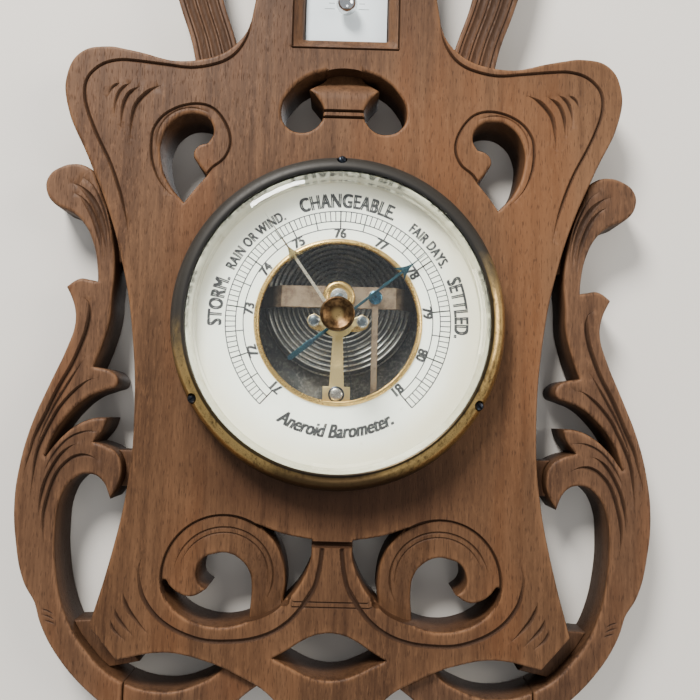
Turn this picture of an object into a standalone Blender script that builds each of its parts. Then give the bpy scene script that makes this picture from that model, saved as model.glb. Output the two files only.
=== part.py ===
"""Carved wall barometer with an aneroid movement, as an assembly of separate solids.

World frame: metres, +Z up, +X to the right as seen from the front, the front faces -Y.
The wall is the plane Y = 0 and the dial's axis is the line X = 0, Z = 0.
Most pieces are drawn in a front view (x, z) and stand between two heights above the wall,
so every number below is in millimetres and "height" means distance in front of the wall.
"""
import math

import bmesh
import bpy
from mathutils import Matrix

MM = 0.001
GAP = 0.3                # clearance between pieces that touch

# Woodwork
BOARD_FRONT = 21.0       # thickness of the front board
FRAME_FRONT = 17.5       # thickness of the scrolled side frames
WEB_FRONT = 12.0         # lower webs that tie the side frames to the board
HORN_FRONT = 16.0
CREST_FRONT = 24.0
CARTOUCHE_FRONT = 15.0   # sunk bridge in the opening under the thermometer
BOARD_TOP = 346.0
GLUE_JOINT_X = 83.0      # vertical joint between side frame and bottom arc

# Case and dial
DRUM_R = 62.8
DRUM_WALL = 1.0
DRUM_FRONT = 30.6
FLANGE_LOW = BOARD_FRONT + GAP
FLANGE_TOP = FLANGE_LOW + 0.8
FLANGE_R = 67.4
BEZEL_R = 68.5
BEZEL_OPENING_R = 61.0
BEZEL_FRONT = 34.8
BEZEL_SCREW_R = 65.8     # pitch radius of the three bezel screws
GLASS_R = 62.6
GLASS_LOW = 31.0
GLASS_TOP = 33.8
GLASS_HOLE_R = 2.4
CARD_LOW = 24.2
CARD_TOP = 25.0
CARD_R = 61.4
SIGHT_TOP_R = 61.0       # polished cone between the card and the glass
SIGHT_LOW_R = 58.1
APERTURE_R = 32.4        # clear radius of the brass ring in the dial

# Movement
PLATE_R = 52.0
PLATE_LOW = DRUM_WALL + GAP
PLATE_TOP = PLATE_LOW + 1.5
CAPSULE_Z = 11.0         # the capsule sits above the dial's axis
CAPSULE_R = 33.0
CAPSULE_LOW = PLATE_TOP + GAP
CAPSULE_TOP = 10.4
SPRING_LOW = 18.9
SPRING_TOP = 20.0
SPRING_HALF_WIDTH = 4.6
LEVER_X = 15.2
LEVER_LOW = SPRING_TOP + GAP
LEVER_TOP = LEVER_LOW + 1.0
SHAFT_HEIGHT = 9.0
SHAFT_Z = -38.0
SHAFT_R = 1.2
CHAIN_ARM_X = 7.6
CHAIN_ARM_LENGTH = 10.0
LINK_ARM_LENGTH = 4.0
COCK_LOW = 12.6
COCK_TOP = 13.8
COCK_SCREW_X = 10.0
BRIDGE_LOW = 21.6
BRIDGE_TOP = 22.8
BRIDGE_SCREW_Z = -29.6

# Hands
POINTER_LOW = 27.6
POINTER_TOP = 28.1
POINTER_ANGLE = 51.0     # clockwise from the top, the reading at rest
SET_HAND_LOW = 29.4
SET_HAND_TOP = 29.9
SET_HAND_ANGLE = -35.5
KNOB_R = 6.6
KNOB_FRONT = 52.0

# Thermometer
WINDOW_HALF = 18.3
WINDOW_LOW = 124.8
WINDOW_HIGH = 327.5
OPAL_LOW = 11.4
OPAL_TOP = 14.0
TUBE_HEIGHT = 19.0       # height of the glass tube's axis
TUBE_R = 2.6
BULB_R = 4.6
BULB_Z = 140.5
TUBE_TOP_Z = 308.0

RING_STEPS = 48
SMALL_STEPS = 12

FACING = (math.radians(90), 0.0, 0.0)


# ---------------------------------------------------------------- scene and materials

for leftover in list(bpy.data.objects):
    bpy.data.objects.remove(leftover, do_unlink=True)

parts = bpy.data.collections.new("aneroid_barometer")
cutters = bpy.data.collections.new("cutters")
for collection in (parts, cutters):
    bpy.context.scene.collection.children.link(collection)


def finish(name, colour, roughness, metallic=0.0):
    material = bpy.data.materials.new(name)
    material.use_nodes = True
    shader = material.node_tree.nodes["Principled BSDF"]
    shader.inputs["Base Color"].default_value = (*colour, 1.0)
    shader.inputs["Roughness"].default_value = roughness
    shader.inputs["Metallic"].default_value = metallic
    return material


WALNUT = finish("walnut", (0.20, 0.11, 0.062), 0.5)
WALNUT_DARK = finish("walnut_dark", (0.15, 0.08, 0.045), 0.55)
AGED_BRASS = finish("aged_brass", (0.34, 0.22, 0.08), 0.4, 1.0)
BRASS = finish("brass", (0.72, 0.50, 0.19), 0.3, 1.0)
KNOB_BRASS = finish("knob_brass", (0.30, 0.18, 0.07), 0.35, 1.0)
BLUED_STEEL = finish("blued_steel", (0.05, 0.12, 0.18), 0.3, 1.0)
BRIGHT_STEEL = finish("bright_steel", (0.55, 0.55, 0.55), 0.35, 1.0)
BROWN_STEEL = finish("browned_steel", (0.22, 0.15, 0.10), 0.5, 0.7)
BLACK_JAPAN = finish("black_japan", (0.02, 0.02, 0.022), 0.45)
NICKEL_SILVER = finish("nickel_silver", (0.42, 0.42, 0.40), 0.35, 1.0)
CARD_WHITE = finish("enamelled_card", (0.80, 0.80, 0.72), 0.5)
OPAL = finish("opal_glass", (0.80, 0.87, 0.92), 0.15)
CLEAR_GLASS = finish("clear_glass", (0.85, 0.90, 0.88), 0.03)
MERCURY = finish("mercury", (0.75, 0.75, 0.76), 0.08, 1.0)


# ---------------------------------------------------------------- shapes

def add(obj, material, collection=parts):
    """Put an object in its collection with its material, or mark it as a cutter."""
    collection.objects.link(obj)
    if collection is cutters:
        obj.hide_render = True
        obj.display_type = "WIRE"
    else:
        obj.data.materials.append(material)
    return obj


def corner(x, z):
    """A point of an outline where the edge turns sharply."""
    return (x, z, "corner")


def mirrored(loop):
    """The same outline on the other side of the dial's axis."""
    return [(-point[0], *point[1:]) for point in reversed(loop)]


def both_sides(half):
    """A closed symmetric outline from its right half, which runs from top to bottom."""
    left = [point for point in mirrored(half) if abs(point[0]) > 1e-6]
    return half + left


def circle(radius, count, x=0.0, z=0.0):
    """A round outline as a ring of sharp points."""
    turn = 2 * math.pi / count
    return [corner(x + radius * math.cos(i * turn), z + radius * math.sin(i * turn)) for i in range(count)]


def rectangle(half_width, low, high, x=0.0):
    return [corner(x - half_width, low), corner(x + half_width, low),
            corner(x + half_width, high), corner(x - half_width, high)]


def curve_points(spline, loop):
    """Fill a Bezier spline: smooth points get automatic handles, corners get straight ones."""
    spline.bezier_points.add(len(loop) - 1)
    for bezier, point in zip(spline.bezier_points, loop):
        bezier.co = (point[0] * MM, point[1] * MM, 0.0)
        handle = "VECTOR" if len(point) == 3 else "AUTO"
        bezier.handle_left_type = handle
        bezier.handle_right_type = handle
    spline.use_cyclic_u = True


def plate(name, loops, low, high, material, steps=4, grow=0.0, collection=parts):
    """A flat piece: closed outlines in the front view, between two heights above the wall."""
    data = bpy.data.curves.new(name, "CURVE")
    data.dimensions = "2D"
    data.fill_mode = "BOTH"
    data.resolution_u = steps
    data.extrude = (high - low) / 2 * MM
    data.offset = grow * MM
    for loop in loops:
        curve_points(data.splines.new("BEZIER"), loop)
    obj = bpy.data.objects.new(name, data)
    obj.rotation_euler = FACING
    obj.location = (0.0, -(low + high) / 2 * MM, 0.0)
    return add(obj, material, collection)


def solid(obj):
    """Replace a curve by the same shape as a mesh with its caps welded on."""
    bpy.context.view_layer.update()
    evaluated = obj.evaluated_get(bpy.context.evaluated_depsgraph_get())
    mesh = bpy.data.meshes.new_from_object(evaluated)
    edit = bmesh.new()
    edit.from_mesh(mesh)
    bmesh.ops.remove_doubles(edit, verts=edit.verts, dist=0.001 * MM)
    bmesh.ops.recalc_face_normals(edit, faces=edit.faces)
    edit.to_mesh(mesh)
    edit.free()
    name, matrix, collection = obj.name, obj.matrix_world.copy(), obj.users_collection[0]
    bpy.data.objects.remove(obj, do_unlink=True)
    welded = bpy.data.objects.new(name, mesh)
    welded.matrix_world = matrix
    collection.objects.link(welded)
    if collection is cutters:
        welded.hide_render = True
        welded.display_type = "WIRE"
    return welded


def cut(obj, cutter, operation="DIFFERENCE"):
    """Cut a piece with another object, or join the two."""
    modifier = obj.modifiers.new(cutter.name, "BOOLEAN")
    modifier.operation = operation
    modifier.object = cutter
    modifier.solver = "EXACT"
    return obj


def turned(name, profile, material, steps=RING_STEPS, x=0.0, z=0.0, upright=False, height=0.0,
           collection=parts):
    """A turned piece: (radius, height) points that run down the outer side."""
    mesh = bpy.data.meshes.new(name)
    points = [(r * MM, 0.0, h * MM) for r, h in profile]
    mesh.from_pydata(points, [(i, i + 1) for i in range(len(points) - 1)], [])
    obj = bpy.data.objects.new(name, mesh)
    screw = obj.modifiers.new("turn", "SCREW")
    screw.steps = steps
    screw.render_steps = steps
    screw.use_merge_vertices = True
    screw.merge_threshold = 0.00001
    screw.use_smooth_shade = True
    if not upright:
        obj.rotation_euler = FACING
    obj.location = (x * MM, -height * MM, z * MM)
    return add(obj, material, collection)


def closed(profile):
    """The profile of a ring, brought back to its first point."""
    return profile + profile[:1]


def ring(name, inner, outer, low, high, material, steps=RING_STEPS, x=0.0, z=0.0, collection=parts):
    profile = [(inner, high), (outer, high), (outer, low), (inner, low)]
    return turned(name, closed(profile), material, steps, x, z, collection=collection)


def pin(name, radius, low, high, material, x=0.0, z=0.0, steps=SMALL_STEPS, collection=parts):
    profile = [(0.0, high), (radius, high), (radius, low), (0.0, low)]
    return turned(name, profile, material, steps, x, z, collection=collection)


def block(name, x, heights, z, material, collection=parts):
    """A rectangular piece between two values of x, of height and of z."""
    bpy.ops.mesh.primitive_cube_add(size=1.0)
    obj = bpy.context.object
    for holder in list(obj.users_collection):
        holder.objects.unlink(obj)
    obj.name = name
    size = (x[1] - x[0], heights[1] - heights[0], z[1] - z[0])
    obj.data.transform(Matrix.Diagonal((*[s * MM for s in size], 1.0)))
    obj.location = ((x[0] + x[1]) / 2 * MM, -(heights[0] + heights[1]) / 2 * MM, (z[0] + z[1]) / 2 * MM)
    return add(obj, material, collection)


def wire(name, points, radius, material):
    """A round wire through (x, height, z) points."""
    data = bpy.data.curves.new(name, "CURVE")
    data.dimensions = "3D"
    data.bevel_depth = radius * MM
    data.bevel_resolution = 1
    data.use_fill_caps = True
    spline = data.splines.new("POLY")
    spline.points.add(len(points) - 1)
    for target, (x, height, z) in zip(spline.points, points):
        target.co = (x * MM, -height * MM, z * MM, 1.0)
    return add(bpy.data.objects.new(name, data), material)


def slotted_screw(name, head_r, shank_r, low, seat, top, material, x=0.0, z=0.0, turn=0.0):
    """A screw with a slotted head: shank from low to seat, head from seat to top."""
    profile = [(0.0, top), (head_r * 0.8, top), (head_r, top - (top - seat) * 0.3), (head_r, seat),
               (shank_r, seat), (shank_r, low), (0.0, low)]
    obj = turned(name, profile, material, SMALL_STEPS, x, z)
    deep = (top - seat) * 0.5
    slot = block(name + "_slot", (-head_r * 1.5, head_r * 1.5), (top - deep, top + 1.0),
                 (-head_r * 0.14, head_r * 0.14), None, cutters)
    slot.data.transform(Matrix.Rotation(math.radians(turn), 4, "Y"))
    slot.location.x += x * MM
    slot.location.z += z * MM
    return cut(obj, slot)


# ---------------------------------------------------------------- front board

BOARD_HALF = [
    corner(34.0, BOARD_TOP), (36.5, 300.0), (37.5, 210.0), (39.7, 140.0), (46.5, 121.0),
    (67.3, 112.1), (92.0, 116.2), (103.0, 117.6), (114.0, 114.5), (119.3, 104.0), (118.4, 91.5),
    (108.0, 68.0), (98.5, 46.0), (91.5, 24.0), (86.0, -3.0), (83.0, -45.0), (84.5, -70.0),
    (90.0, -99.0), corner(96.9, -125.2), corner(85.2, -138.0), (67.0, -134.7), (52.5, -136.8),
    (36.0, -143.0), (22.5, -151.3), (14.0, -164.0), (8.0, -178.0), (0.0, -186.0),
]
UPPER_VOLUTE = [
    corner(66.6, 49.8), (73.3, 57.8), (77.0, 68.0), (76.8, 78.0), (71.5, 86.0), (63.8, 88.4),
    (57.5, 86.0), (55.4, 80.5), corner(57.4, 76.0), (61.8, 74.2), (63.4, 70.8), (61.6, 67.0),
    corner(57.4, 61.7), (62.5, 55.5),
]
SCROLL_EYE = [
    (67.8, -106.0), (65.0, -108.6), (61.3, -111.3), (56.0, -112.3), corner(50.5, -109.4),
    (53.8, -106.6), (54.6, -102.4), (52.2, -97.3), (47.1, -95.2), (42.6, -95.0), (37.6, -97.8),
    (34.0, -103.0), (32.9, -109.0), corner(33.5, -121.5), (38.5, -123.2), (45.9, -123.9),
    (52.7, -122.8), (59.7, -119.8), (65.2, -114.8), (67.9, -109.9),
]
SCROLL_CORNER = [
    corner(30.5, -83.2), (20.3, -86.6), corner(8.4, -88.7), (8.6, -96.2), (11.0, -103.0),
    (14.6, -109.2), corner(19.4, -114.6), (18.8, -105.6), (21.7, -93.7), (25.9, -87.5),
]
KEYHOLE_LOBE = [
    corner(7.7, 109.3), (16.0, 106.2), (23.0, 100.0), (26.8, 91.5), (24.5, 84.3), (17.8, 81.6),
    (12.2, 83.6), corner(9.2, 87.3), corner(9.0, 93.0), corner(15.1, 101.3),
]
CARTOUCHE_HALF = [(0.0, 110.2), corner(8.4, 108.4), corner(20.0, 97.0), corner(20.0, 87.6)]
LENS = [corner(-22.6, -135.7), (0.0, -125.6), corner(22.6, -135.7), (0.0, -143.6)]

BOARD_OUTLINE = both_sides(BOARD_HALF)
front_board = plate("front_board", [
    BOARD_OUTLINE, circle(DRUM_R + GAP, 48), LENS,
    rectangle(WINDOW_HALF, WINDOW_LOW, WINDOW_HIGH),
    UPPER_VOLUTE, mirrored(UPPER_VOLUTE), SCROLL_EYE, mirrored(SCROLL_EYE),
    SCROLL_CORNER, mirrored(SCROLL_CORNER), KEYHOLE_LOBE, mirrored(KEYHOLE_LOBE),
], 0.0, BOARD_FRONT, WALNUT)
front_board = solid(front_board)
cut(front_board, solid(plate("cartouche_sinking", [both_sides(CARTOUCHE_HALF)],
                             CARTOUCHE_FRONT, BOARD_FRONT + 2, None, collection=cutters)))

board_cutter = solid(plate("board_cutter", [BOARD_OUTLINE], -2.0, 30.0, None, grow=GAP, collection=cutters))

# ---------------------------------------------------------------- scrolled side frames and bottom arcs

SIDE_FRAME = [
    corner(106.5, 63.4), (110.6, 65.9), (114.9, 66.6), (120.5, 65.2), (125.8, 60.8), (126.4, 54.2),
    (122.0, 48.3), (115.5, 45.3), (110.0, 41.0), (105.0, 31.5), (102.8, 21.0), corner(102.4, 15.8),
    (105.6, 16.4), (110.0, 16.8), corner(115.4, 13.2), (112.0, 6.0), (110.9, -2.0), (113.5, -12.0),
    (120.0, -28.0), (126.5, -45.0), (130.4, -62.0), (131.6, -77.0), (130.0, -93.0), (126.0, -108.5),
    corner(120.9, -117.0), (117.2, -127.0), (110.0, -138.5), (98.0, -151.0), corner(GLUE_JOINT_X, -161.8),
    corner(GLUE_JOINT_X, -147.6), (90.9, -143.0), (97.5, -136.6), (104.0, -128.5), (109.2, -118.0),
    (112.8, -103.0), (113.9, -88.0), (112.6, -75.5), (107.8, -67.4), (101.8, -64.9), (96.4, -67.0),
    corner(92.3, -74.9), (89.4, -70.2), (87.8, -63.5), (89.8, -56.6), (94.6, -53.2), corner(100.2, -51.6),
    (96.4, -46.4), corner(94.9, -41.6), (100.2, -41.8), (107.2, -44.6), (114.6, -51.0), corner(119.8, -58.0),
    (116.4, -48.2), (110.0, -39.2), (102.5, -32.8), (96.0, -30.2), (91.6, -28.0), (92.6, -23.4),
    corner(101.8, -20.4), (98.4, -10.5), (96.0, 0.0), (95.7, 10.0), (95.1, 20.0), (96.2, 32.0),
    (99.4, 45.5), (103.6, 56.5),
]
TOP_WEB = [corner(108.5, 65.5), corner(100.0, 62.0), corner(88.0, 25.0), corner(97.0, 25.0),
           corner(98.2, 38.0), corner(103.2, 53.0)]
VOLUTE_WEB = [corner(91.0, -55.0), corner(80.0, -55.0), corner(80.0, -70.0), corner(91.0, -70.0)]
CORNER_WEB = [corner(108.0, -125.4), corner(94.5, -124.6), corner(78.0, -141.0), corner(92.5, -144.0),
              corner(101.0, -134.5)]
BOTTOM_ARC = [
    corner(GLUE_JOINT_X - GAP, -147.7), corner(GLUE_JOINT_X - GAP, -162.0), (70.0, -166.6), (55.0, -165.0),
    (42.0, -158.6), (33.0, -151.0), corner(24.0, -144.5), corner(40.0, -138.0), (46.8, -144.4), (53.2, -147.7),
    (60.7, -150.2), (68.3, -150.8), (76.0, -149.9),
]

for side, flip in (("right", list), ("left", mirrored)):
    outline = plate(f"back_frame_{side}", [flip(SIDE_FRAME)], 0.0, FRAME_FRONT, WALNUT_DARK, steps=3)
    frame_piece = solid(outline)
    for web_name, web in (("top", TOP_WEB), ("volute", VOLUTE_WEB), ("corner", CORNER_WEB)):
        cut(frame_piece, solid(plate(f"{side}_{web_name}_web", [flip(web)], 0.0, WEB_FRONT, None,
                                     collection=cutters)), "UNION")
    cut(frame_piece, board_cutter)
    arc = solid(plate(f"bottom_arc_{side}", [flip(BOTTOM_ARC)], 0.0, FRAME_FRONT, WALNUT_DARK, steps=3))
    cut(arc, board_cutter)

# ---------------------------------------------------------------- horns and crest

HORN = [
    corner(64.0, 106.0), (67.6, 123.0), (73.8, 141.0), (80.0, 163.0), (84.2, 195.0), (84.0, 228.0),
    (78.5, 262.0), (67.0, 295.0), (52.0, 322.0), corner(30.0, 340.0), corner(30.0, 322.0),
    (44.0, 309.0), (56.0, 286.0), (63.4, 258.0), (66.0, 228.0), (65.2, 198.0), (60.6, 168.0),
    (54.2, 142.0), (48.8, 126.0), corner(44.0, 110.0),
]
for side, flip in (("right", list), ("left", mirrored)):
    horn = solid(plate(f"{side}_horn", [flip(HORN)], 0.0, HORN_FRONT, WALNUT_DARK))
    cut(horn, board_cutter)

CREST_HALF = [
    corner(42.0, BOARD_TOP + GAP), (48.5, 350.0), (51.0, 357.0),
    (46.8, 364.6), (39.5, 366.4), (34.0, 371.5), (26.5, 381.5), (14.0, 391.5), (0.0, 396.0),
]
HANGER_Z = 366.0
HANGER_THICK = 1.5
HANGER_HALF_WIDTH = 9.0
HANGER_HALF_HEIGHT = 15.0
NAIL_R = 4.5
crest = solid(plate("crest", [both_sides(CREST_HALF)], 0.0, CREST_FRONT, WALNUT))
cut(crest, block("hanger_pocket", (-HANGER_HALF_WIDTH - GAP, HANGER_HALF_WIDTH + GAP), (-1.0, HANGER_THICK + GAP),
                 (HANGER_Z - HANGER_HALF_HEIGHT - GAP, HANGER_Z + HANGER_HALF_HEIGHT + GAP), None, cutters))
cut(crest, block("nail_pocket", (-5.5, 5.5), (-1.0, 10.0), (HANGER_Z - 9.5, HANGER_Z + 7.5), None, cutters))

KEYHOLE = [
    (0.0, HANGER_Z - 8.5), (-NAIL_R, HANGER_Z - 4.0), corner(-2.2, HANGER_Z), corner(-2.2, HANGER_Z + 5.0),
    (0.0, HANGER_Z + 7.0), corner(2.2, HANGER_Z + 5.0), corner(2.2, HANGER_Z), (NAIL_R, HANGER_Z - 4.0),
]
HANGER_SCREW_Z = 11.5
plate("hanger_plate", [
    rectangle(HANGER_HALF_WIDTH, HANGER_Z - HANGER_HALF_HEIGHT, HANGER_Z + HANGER_HALF_HEIGHT), KEYHOLE,
    circle(1.6, 12, z=HANGER_Z + HANGER_SCREW_Z), circle(1.6, 12, z=HANGER_Z - HANGER_SCREW_Z),
], 0.0, HANGER_THICK, BRASS)


def rear_screw(name, x, z, tip):
    """A round-shanked screw driven in from the back, its countersunk head flush with the wall face."""
    profile = [(0.0, tip), (1.0, tip - 2.0), (1.2, 0.05), (0.0, 0.05)]
    return turned(name, profile, BRASS, 12, x, z)


for screw_name, offset in (("upper", HANGER_SCREW_Z), ("lower", -HANGER_SCREW_Z)):
    cut(crest, pin(f"hanger_pilot_{screw_name}", 1.5, -1.0, 12.0, None, z=HANGER_Z + offset, steps=12,
                   collection=cutters))
    rear_screw(f"hanger_screw_{screw_name}", 0.0, HANGER_Z + offset, 11.0)

# ---------------------------------------------------------------- thermometer

INSET = WINDOW_HALF - GAP
block("thermometer_backing", (-INSET, INSET), (0.2, OPAL_LOW - GAP),
      (WINDOW_LOW + GAP, WINDOW_HIGH - GAP), WALNUT_DARK)
block("thermometer_plate", (-INSET, INSET), (OPAL_LOW, OPAL_TOP),
      (WINDOW_LOW + GAP, WINDOW_HIGH - GAP), OPAL)

NECK_Z = BULB_Z + BULB_R + 3.5
BORE_R = 1.0
GLASS_WALL = 0.6


def bulb(radius, tube_r, tube_top, first_angle):
    """Points down the side of a bulb on a tube, from the tube's top to the bulb's lowest point."""
    points = [(tube_r, tube_top), (tube_r, NECK_Z)]
    for step in range(8):
        angle = math.radians(first_angle - step * (first_angle + 90.0) / 7)
        points.append((max(radius * math.cos(angle), 0.0), BULB_Z + radius * math.sin(angle)))
    points[-1] = (0.0, points[-1][1])
    return points


glass_inside = [(r, z) for r, z in reversed(bulb(BULB_R - GLASS_WALL, BORE_R, TUBE_TOP_Z, 62.0))]
turned("thermometer_glass", glass_inside + bulb(BULB_R, TUBE_R, TUBE_TOP_Z, 55.0), CLEAR_GLASS, 12,
       upright=True, height=TUBE_HEIGHT)
mercury_side = bulb(BULB_R - GLASS_WALL - GAP, BORE_R - 0.4, 232.0, 68.0)
turned("thermometer_mercury", [(0.0, 232.0)] + mercury_side, MERCURY, 10, upright=True, height=TUBE_HEIGHT)


def tube_clip(name, z):
    """A brass strap over the tube, with two flat ears pinned to the opal plate."""
    reach, seat, thick, wide = TUBE_R + GAP, OPAL_TOP + GAP, 0.6, 3.0
    arch = [(-reach - 3.5, seat), (-reach - thick, seat), (-reach - thick, TUBE_HEIGHT)]
    for step in range(1, 8):
        angle = math.radians(180.0 - step * 180.0 / 8)
        arch.append(((reach + thick) * math.cos(angle), TUBE_HEIGHT + (reach + thick) * math.sin(angle)))
    arch += [(reach + thick, TUBE_HEIGHT), (reach + thick, seat), (reach + 3.5, seat)]
    back = [(reach + 3.5, seat + thick), (reach + 2 * thick, seat + thick), (reach + 2 * thick, TUBE_HEIGHT)]
    for step in range(1, 8):
        angle = math.radians(step * 180.0 / 8)
        across = (reach + 2 * thick) * math.cos(angle)
        back.append((across, TUBE_HEIGHT + (reach + 2 * thick) * math.sin(angle)))
    back += [(-reach - 2 * thick, TUBE_HEIGHT), (-reach - 2 * thick, seat + thick), (-reach - 3.5, seat + thick)]
    data = bpy.data.curves.new(name, "CURVE")
    data.dimensions = "2D"
    data.fill_mode = "BOTH"
    data.extrude = wide / 2 * MM
    spline = data.splines.new("POLY")
    outline = arch + back
    spline.points.add(len(outline) - 1)
    for target, (x, height) in zip(spline.points, outline):
        target.co = (x * MM, -height * MM, 0.0, 1.0)
    spline.use_cyclic_u = True
    obj = bpy.data.objects.new(name, data)
    obj.location = (0.0, 0.0, z * MM)
    return add(obj, BRASS)


tube_clip("tube_clip_lower", 158.0)
tube_clip("tube_clip_upper", 298.0)

# ---------------------------------------------------------------- case, bezel, glass and dial

drum = turned("drum_case", [
    (0.0, DRUM_WALL), (DRUM_R - DRUM_WALL, DRUM_WALL), (DRUM_R - DRUM_WALL, DRUM_FRONT), (DRUM_R, DRUM_FRONT),
    (DRUM_R, FLANGE_TOP), (FLANGE_R, FLANGE_TOP), (FLANGE_R, FLANGE_LOW), (DRUM_R, FLANGE_LOW), (DRUM_R, 0.0),
    (0.0, 0.0),
], AGED_BRASS)
ADJUST_R = 2.6
cut(drum, pin("adjusting_hole", ADJUST_R + GAP, -1.0, 2.0, None, z=CAPSULE_Z, collection=cutters))

bezel = turned("bezel", closed([
    (BEZEL_OPENING_R, BEZEL_FRONT - 0.2), (62.0, BEZEL_FRONT), (64.2, BEZEL_FRONT - 0.6),
    (66.4, BEZEL_FRONT - 2.6),
    (67.8, BEZEL_FRONT - 5.6), (BEZEL_R, BEZEL_FRONT - 9.0), (BEZEL_R, FLANGE_TOP + GAP),
    (DRUM_R + GAP + 0.1, FLANGE_TOP + GAP), (DRUM_R + GAP + 0.1, GLASS_TOP + GAP),
    (BEZEL_OPENING_R, GLASS_TOP + GAP),
]), AGED_BRASS)

for place, degrees in (("top", 90.0), ("left", 210.0), ("right", 330.0)):
    screw_x = BEZEL_SCREW_R * math.cos(math.radians(degrees))
    screw_z = BEZEL_SCREW_R * math.sin(math.radians(degrees))
    bored = ((front_board, 1.3, 11.0, 25.0), (drum, 1.5, 20.0, 23.5), (bezel, 2.2, 20.0, 40.0))
    for target, radius, low, high in bored:
        cut(target, pin(f"{target.name}_{place}_screw_hole", radius, low, high, None, screw_x, screw_z, 12,
                        collection=cutters))
    slotted_screw(f"bezel_screw_{place}", 1.9, 0.9, 12.0, 30.4, 32.0, BLUED_STEEL, screw_x, screw_z, 30.0)

turned("dial_glass", closed([
    (GLASS_HOLE_R, GLASS_TOP), (59.0, GLASS_TOP), (GLASS_R, GLASS_TOP - 1.2), (GLASS_R, GLASS_LOW),
    (GLASS_HOLE_R, GLASS_LOW),
]), CLEAR_GLASS)
ring("dial_card", APERTURE_R + 1.6, CARD_R, CARD_LOW, CARD_TOP, CARD_WHITE)
ring("dial_seat", 57.0, CARD_R, CARD_LOW - GAP - 1.6, CARD_LOW - GAP, BRASS, 32)
turned("sight_ring", closed([
    (SIGHT_TOP_R, GLASS_LOW - GAP), (CARD_R, GLASS_LOW - GAP), (SIGHT_LOW_R + 0.7, CARD_TOP + GAP),
    (SIGHT_LOW_R, CARD_TOP + GAP),
]), BRASS)
turned("aperture_ring", closed([
    (APERTURE_R, CARD_TOP + 0.9), (APERTURE_R + 0.7, CARD_TOP + 1.3), (APERTURE_R + 2.0, CARD_TOP + 0.9),
    (APERTURE_R + 2.2, CARD_TOP + GAP), (APERTURE_R + 1.2, CARD_TOP + GAP), (APERTURE_R + 1.2, CARD_LOW - 0.8),
    (APERTURE_R, CARD_LOW - 0.8),
]), BRASS, 36)

# ---------------------------------------------------------------- movement: base, capsule and spring

plate("base_plate", [circle(PLATE_R, 40), circle(ADJUST_R + GAP, 12, z=CAPSULE_Z)], PLATE_LOW, PLATE_TOP,
      BLACK_JAPAN)
turned("adjusting_screw", [
    (0.0, PLATE_TOP - 0.2), (ADJUST_R, PLATE_TOP - 0.2), (ADJUST_R, 0.3), (0.0, 0.3),
], BRASS, SMALL_STEPS, z=CAPSULE_Z)
cut(bpy.data.objects["adjusting_screw"],
    block("adjusting_slot", (-4.0, 4.0), (0.0, 1.0), (CAPSULE_Z - 0.4, CAPSULE_Z + 0.4), None, cutters))

for name, degrees in (("top", 90.0), ("left", 205.0), ("right", 335.0)):
    slotted_screw(f"plate_screw_{name}", 2.4, 1.2, PLATE_TOP + 0.1, PLATE_TOP + GAP, PLATE_TOP + 1.6,
                  BRIGHT_STEEL, 48.5 * math.cos(math.radians(degrees)), 48.5 * math.sin(math.radians(degrees)), 20.0)

CORRUGATIONS = 3
SHELL_WALL = 0.4
RIPPLE_START = 9.0
RIPPLE_END = 30.0


def shell_profile(rest, depth, sign, rim):
    """Half of a vacuum capsule: a rippled disc with a rim, as a thin wall of constant height."""
    face = [(0.0, rest)]
    for step in range(2 * CORRUGATIONS + 1):
        radius = RIPPLE_START + (RIPPLE_END - RIPPLE_START) * step / (2 * CORRUGATIONS)
        face.append((radius, rest + sign * depth * (step % 2)))
    return face + [(CAPSULE_R, rim)]


def shell(name, rest, sign, rim):
    outside = shell_profile(rest, 0.6, sign, rim)
    inside = [(r, h + sign * SHELL_WALL) for r, h in reversed(outside)]
    front, back = (outside, inside) if sign < 0 else (list(reversed(inside)), list(reversed(outside)))
    profile = front + back
    return turned(name, profile, NICKEL_SILVER, 24, z=CAPSULE_Z)


MIDDLE = (CAPSULE_LOW + CAPSULE_TOP) / 2
shell("capsule_upper_shell", CAPSULE_TOP, -1, MIDDLE + 0.2 + SHELL_WALL)
shell("capsule_lower_shell", CAPSULE_LOW, 1, MIDDLE - 0.2 - SHELL_WALL)

turned("capsule_post", [
    (0.0, SPRING_TOP + 1.6), (2.1, SPRING_TOP + 1.6), (2.1, SPRING_TOP + 0.5), (1.6, SPRING_TOP + 0.5),
    (1.6, CAPSULE_TOP + 2.0), (4.5, CAPSULE_TOP + 1.4), (4.5, CAPSULE_TOP + GAP), (0.0, CAPSULE_TOP + GAP),
], NICKEL_SILVER, SMALL_STEPS, z=CAPSULE_Z)
turned("spring_collar", closed([
    (4.4, SPRING_TOP + 1.6), (5.4, SPRING_TOP + 1.9), (6.7, SPRING_TOP + 1.2), (6.7, SPRING_TOP + GAP),
    (4.4, SPRING_TOP + GAP),
]), BRASS, 20, z=CAPSULE_Z)

# The mainspring: a blade across the capsule, with legs that slope down to feet on the base plate.
BLADE = 23.5
FOOT_START = 42.0
FOOT_END = 49.0
FOOT_LOW = PLATE_TOP + GAP
spring_side = [
    (-FOOT_END, FOOT_LOW), (-FOOT_START, FOOT_LOW), (-BLADE, SPRING_LOW), (BLADE, SPRING_LOW),
    (FOOT_START, FOOT_LOW), (FOOT_END, FOOT_LOW), (FOOT_END, FOOT_LOW + 1.1), (FOOT_START + 0.8, FOOT_LOW + 1.1),
    (BLADE + 0.8, SPRING_TOP), (-BLADE - 0.8, SPRING_TOP), (-FOOT_START - 0.8, FOOT_LOW + 1.1),
    (-FOOT_END, FOOT_LOW + 1.1),
]
spring_data = bpy.data.curves.new("main_spring", "CURVE")
spring_data.dimensions = "2D"
spring_data.fill_mode = "BOTH"
spring_data.extrude = SPRING_HALF_WIDTH * MM
spring_line = spring_data.splines.new("POLY")
spring_line.points.add(len(spring_side) - 1)
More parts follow.
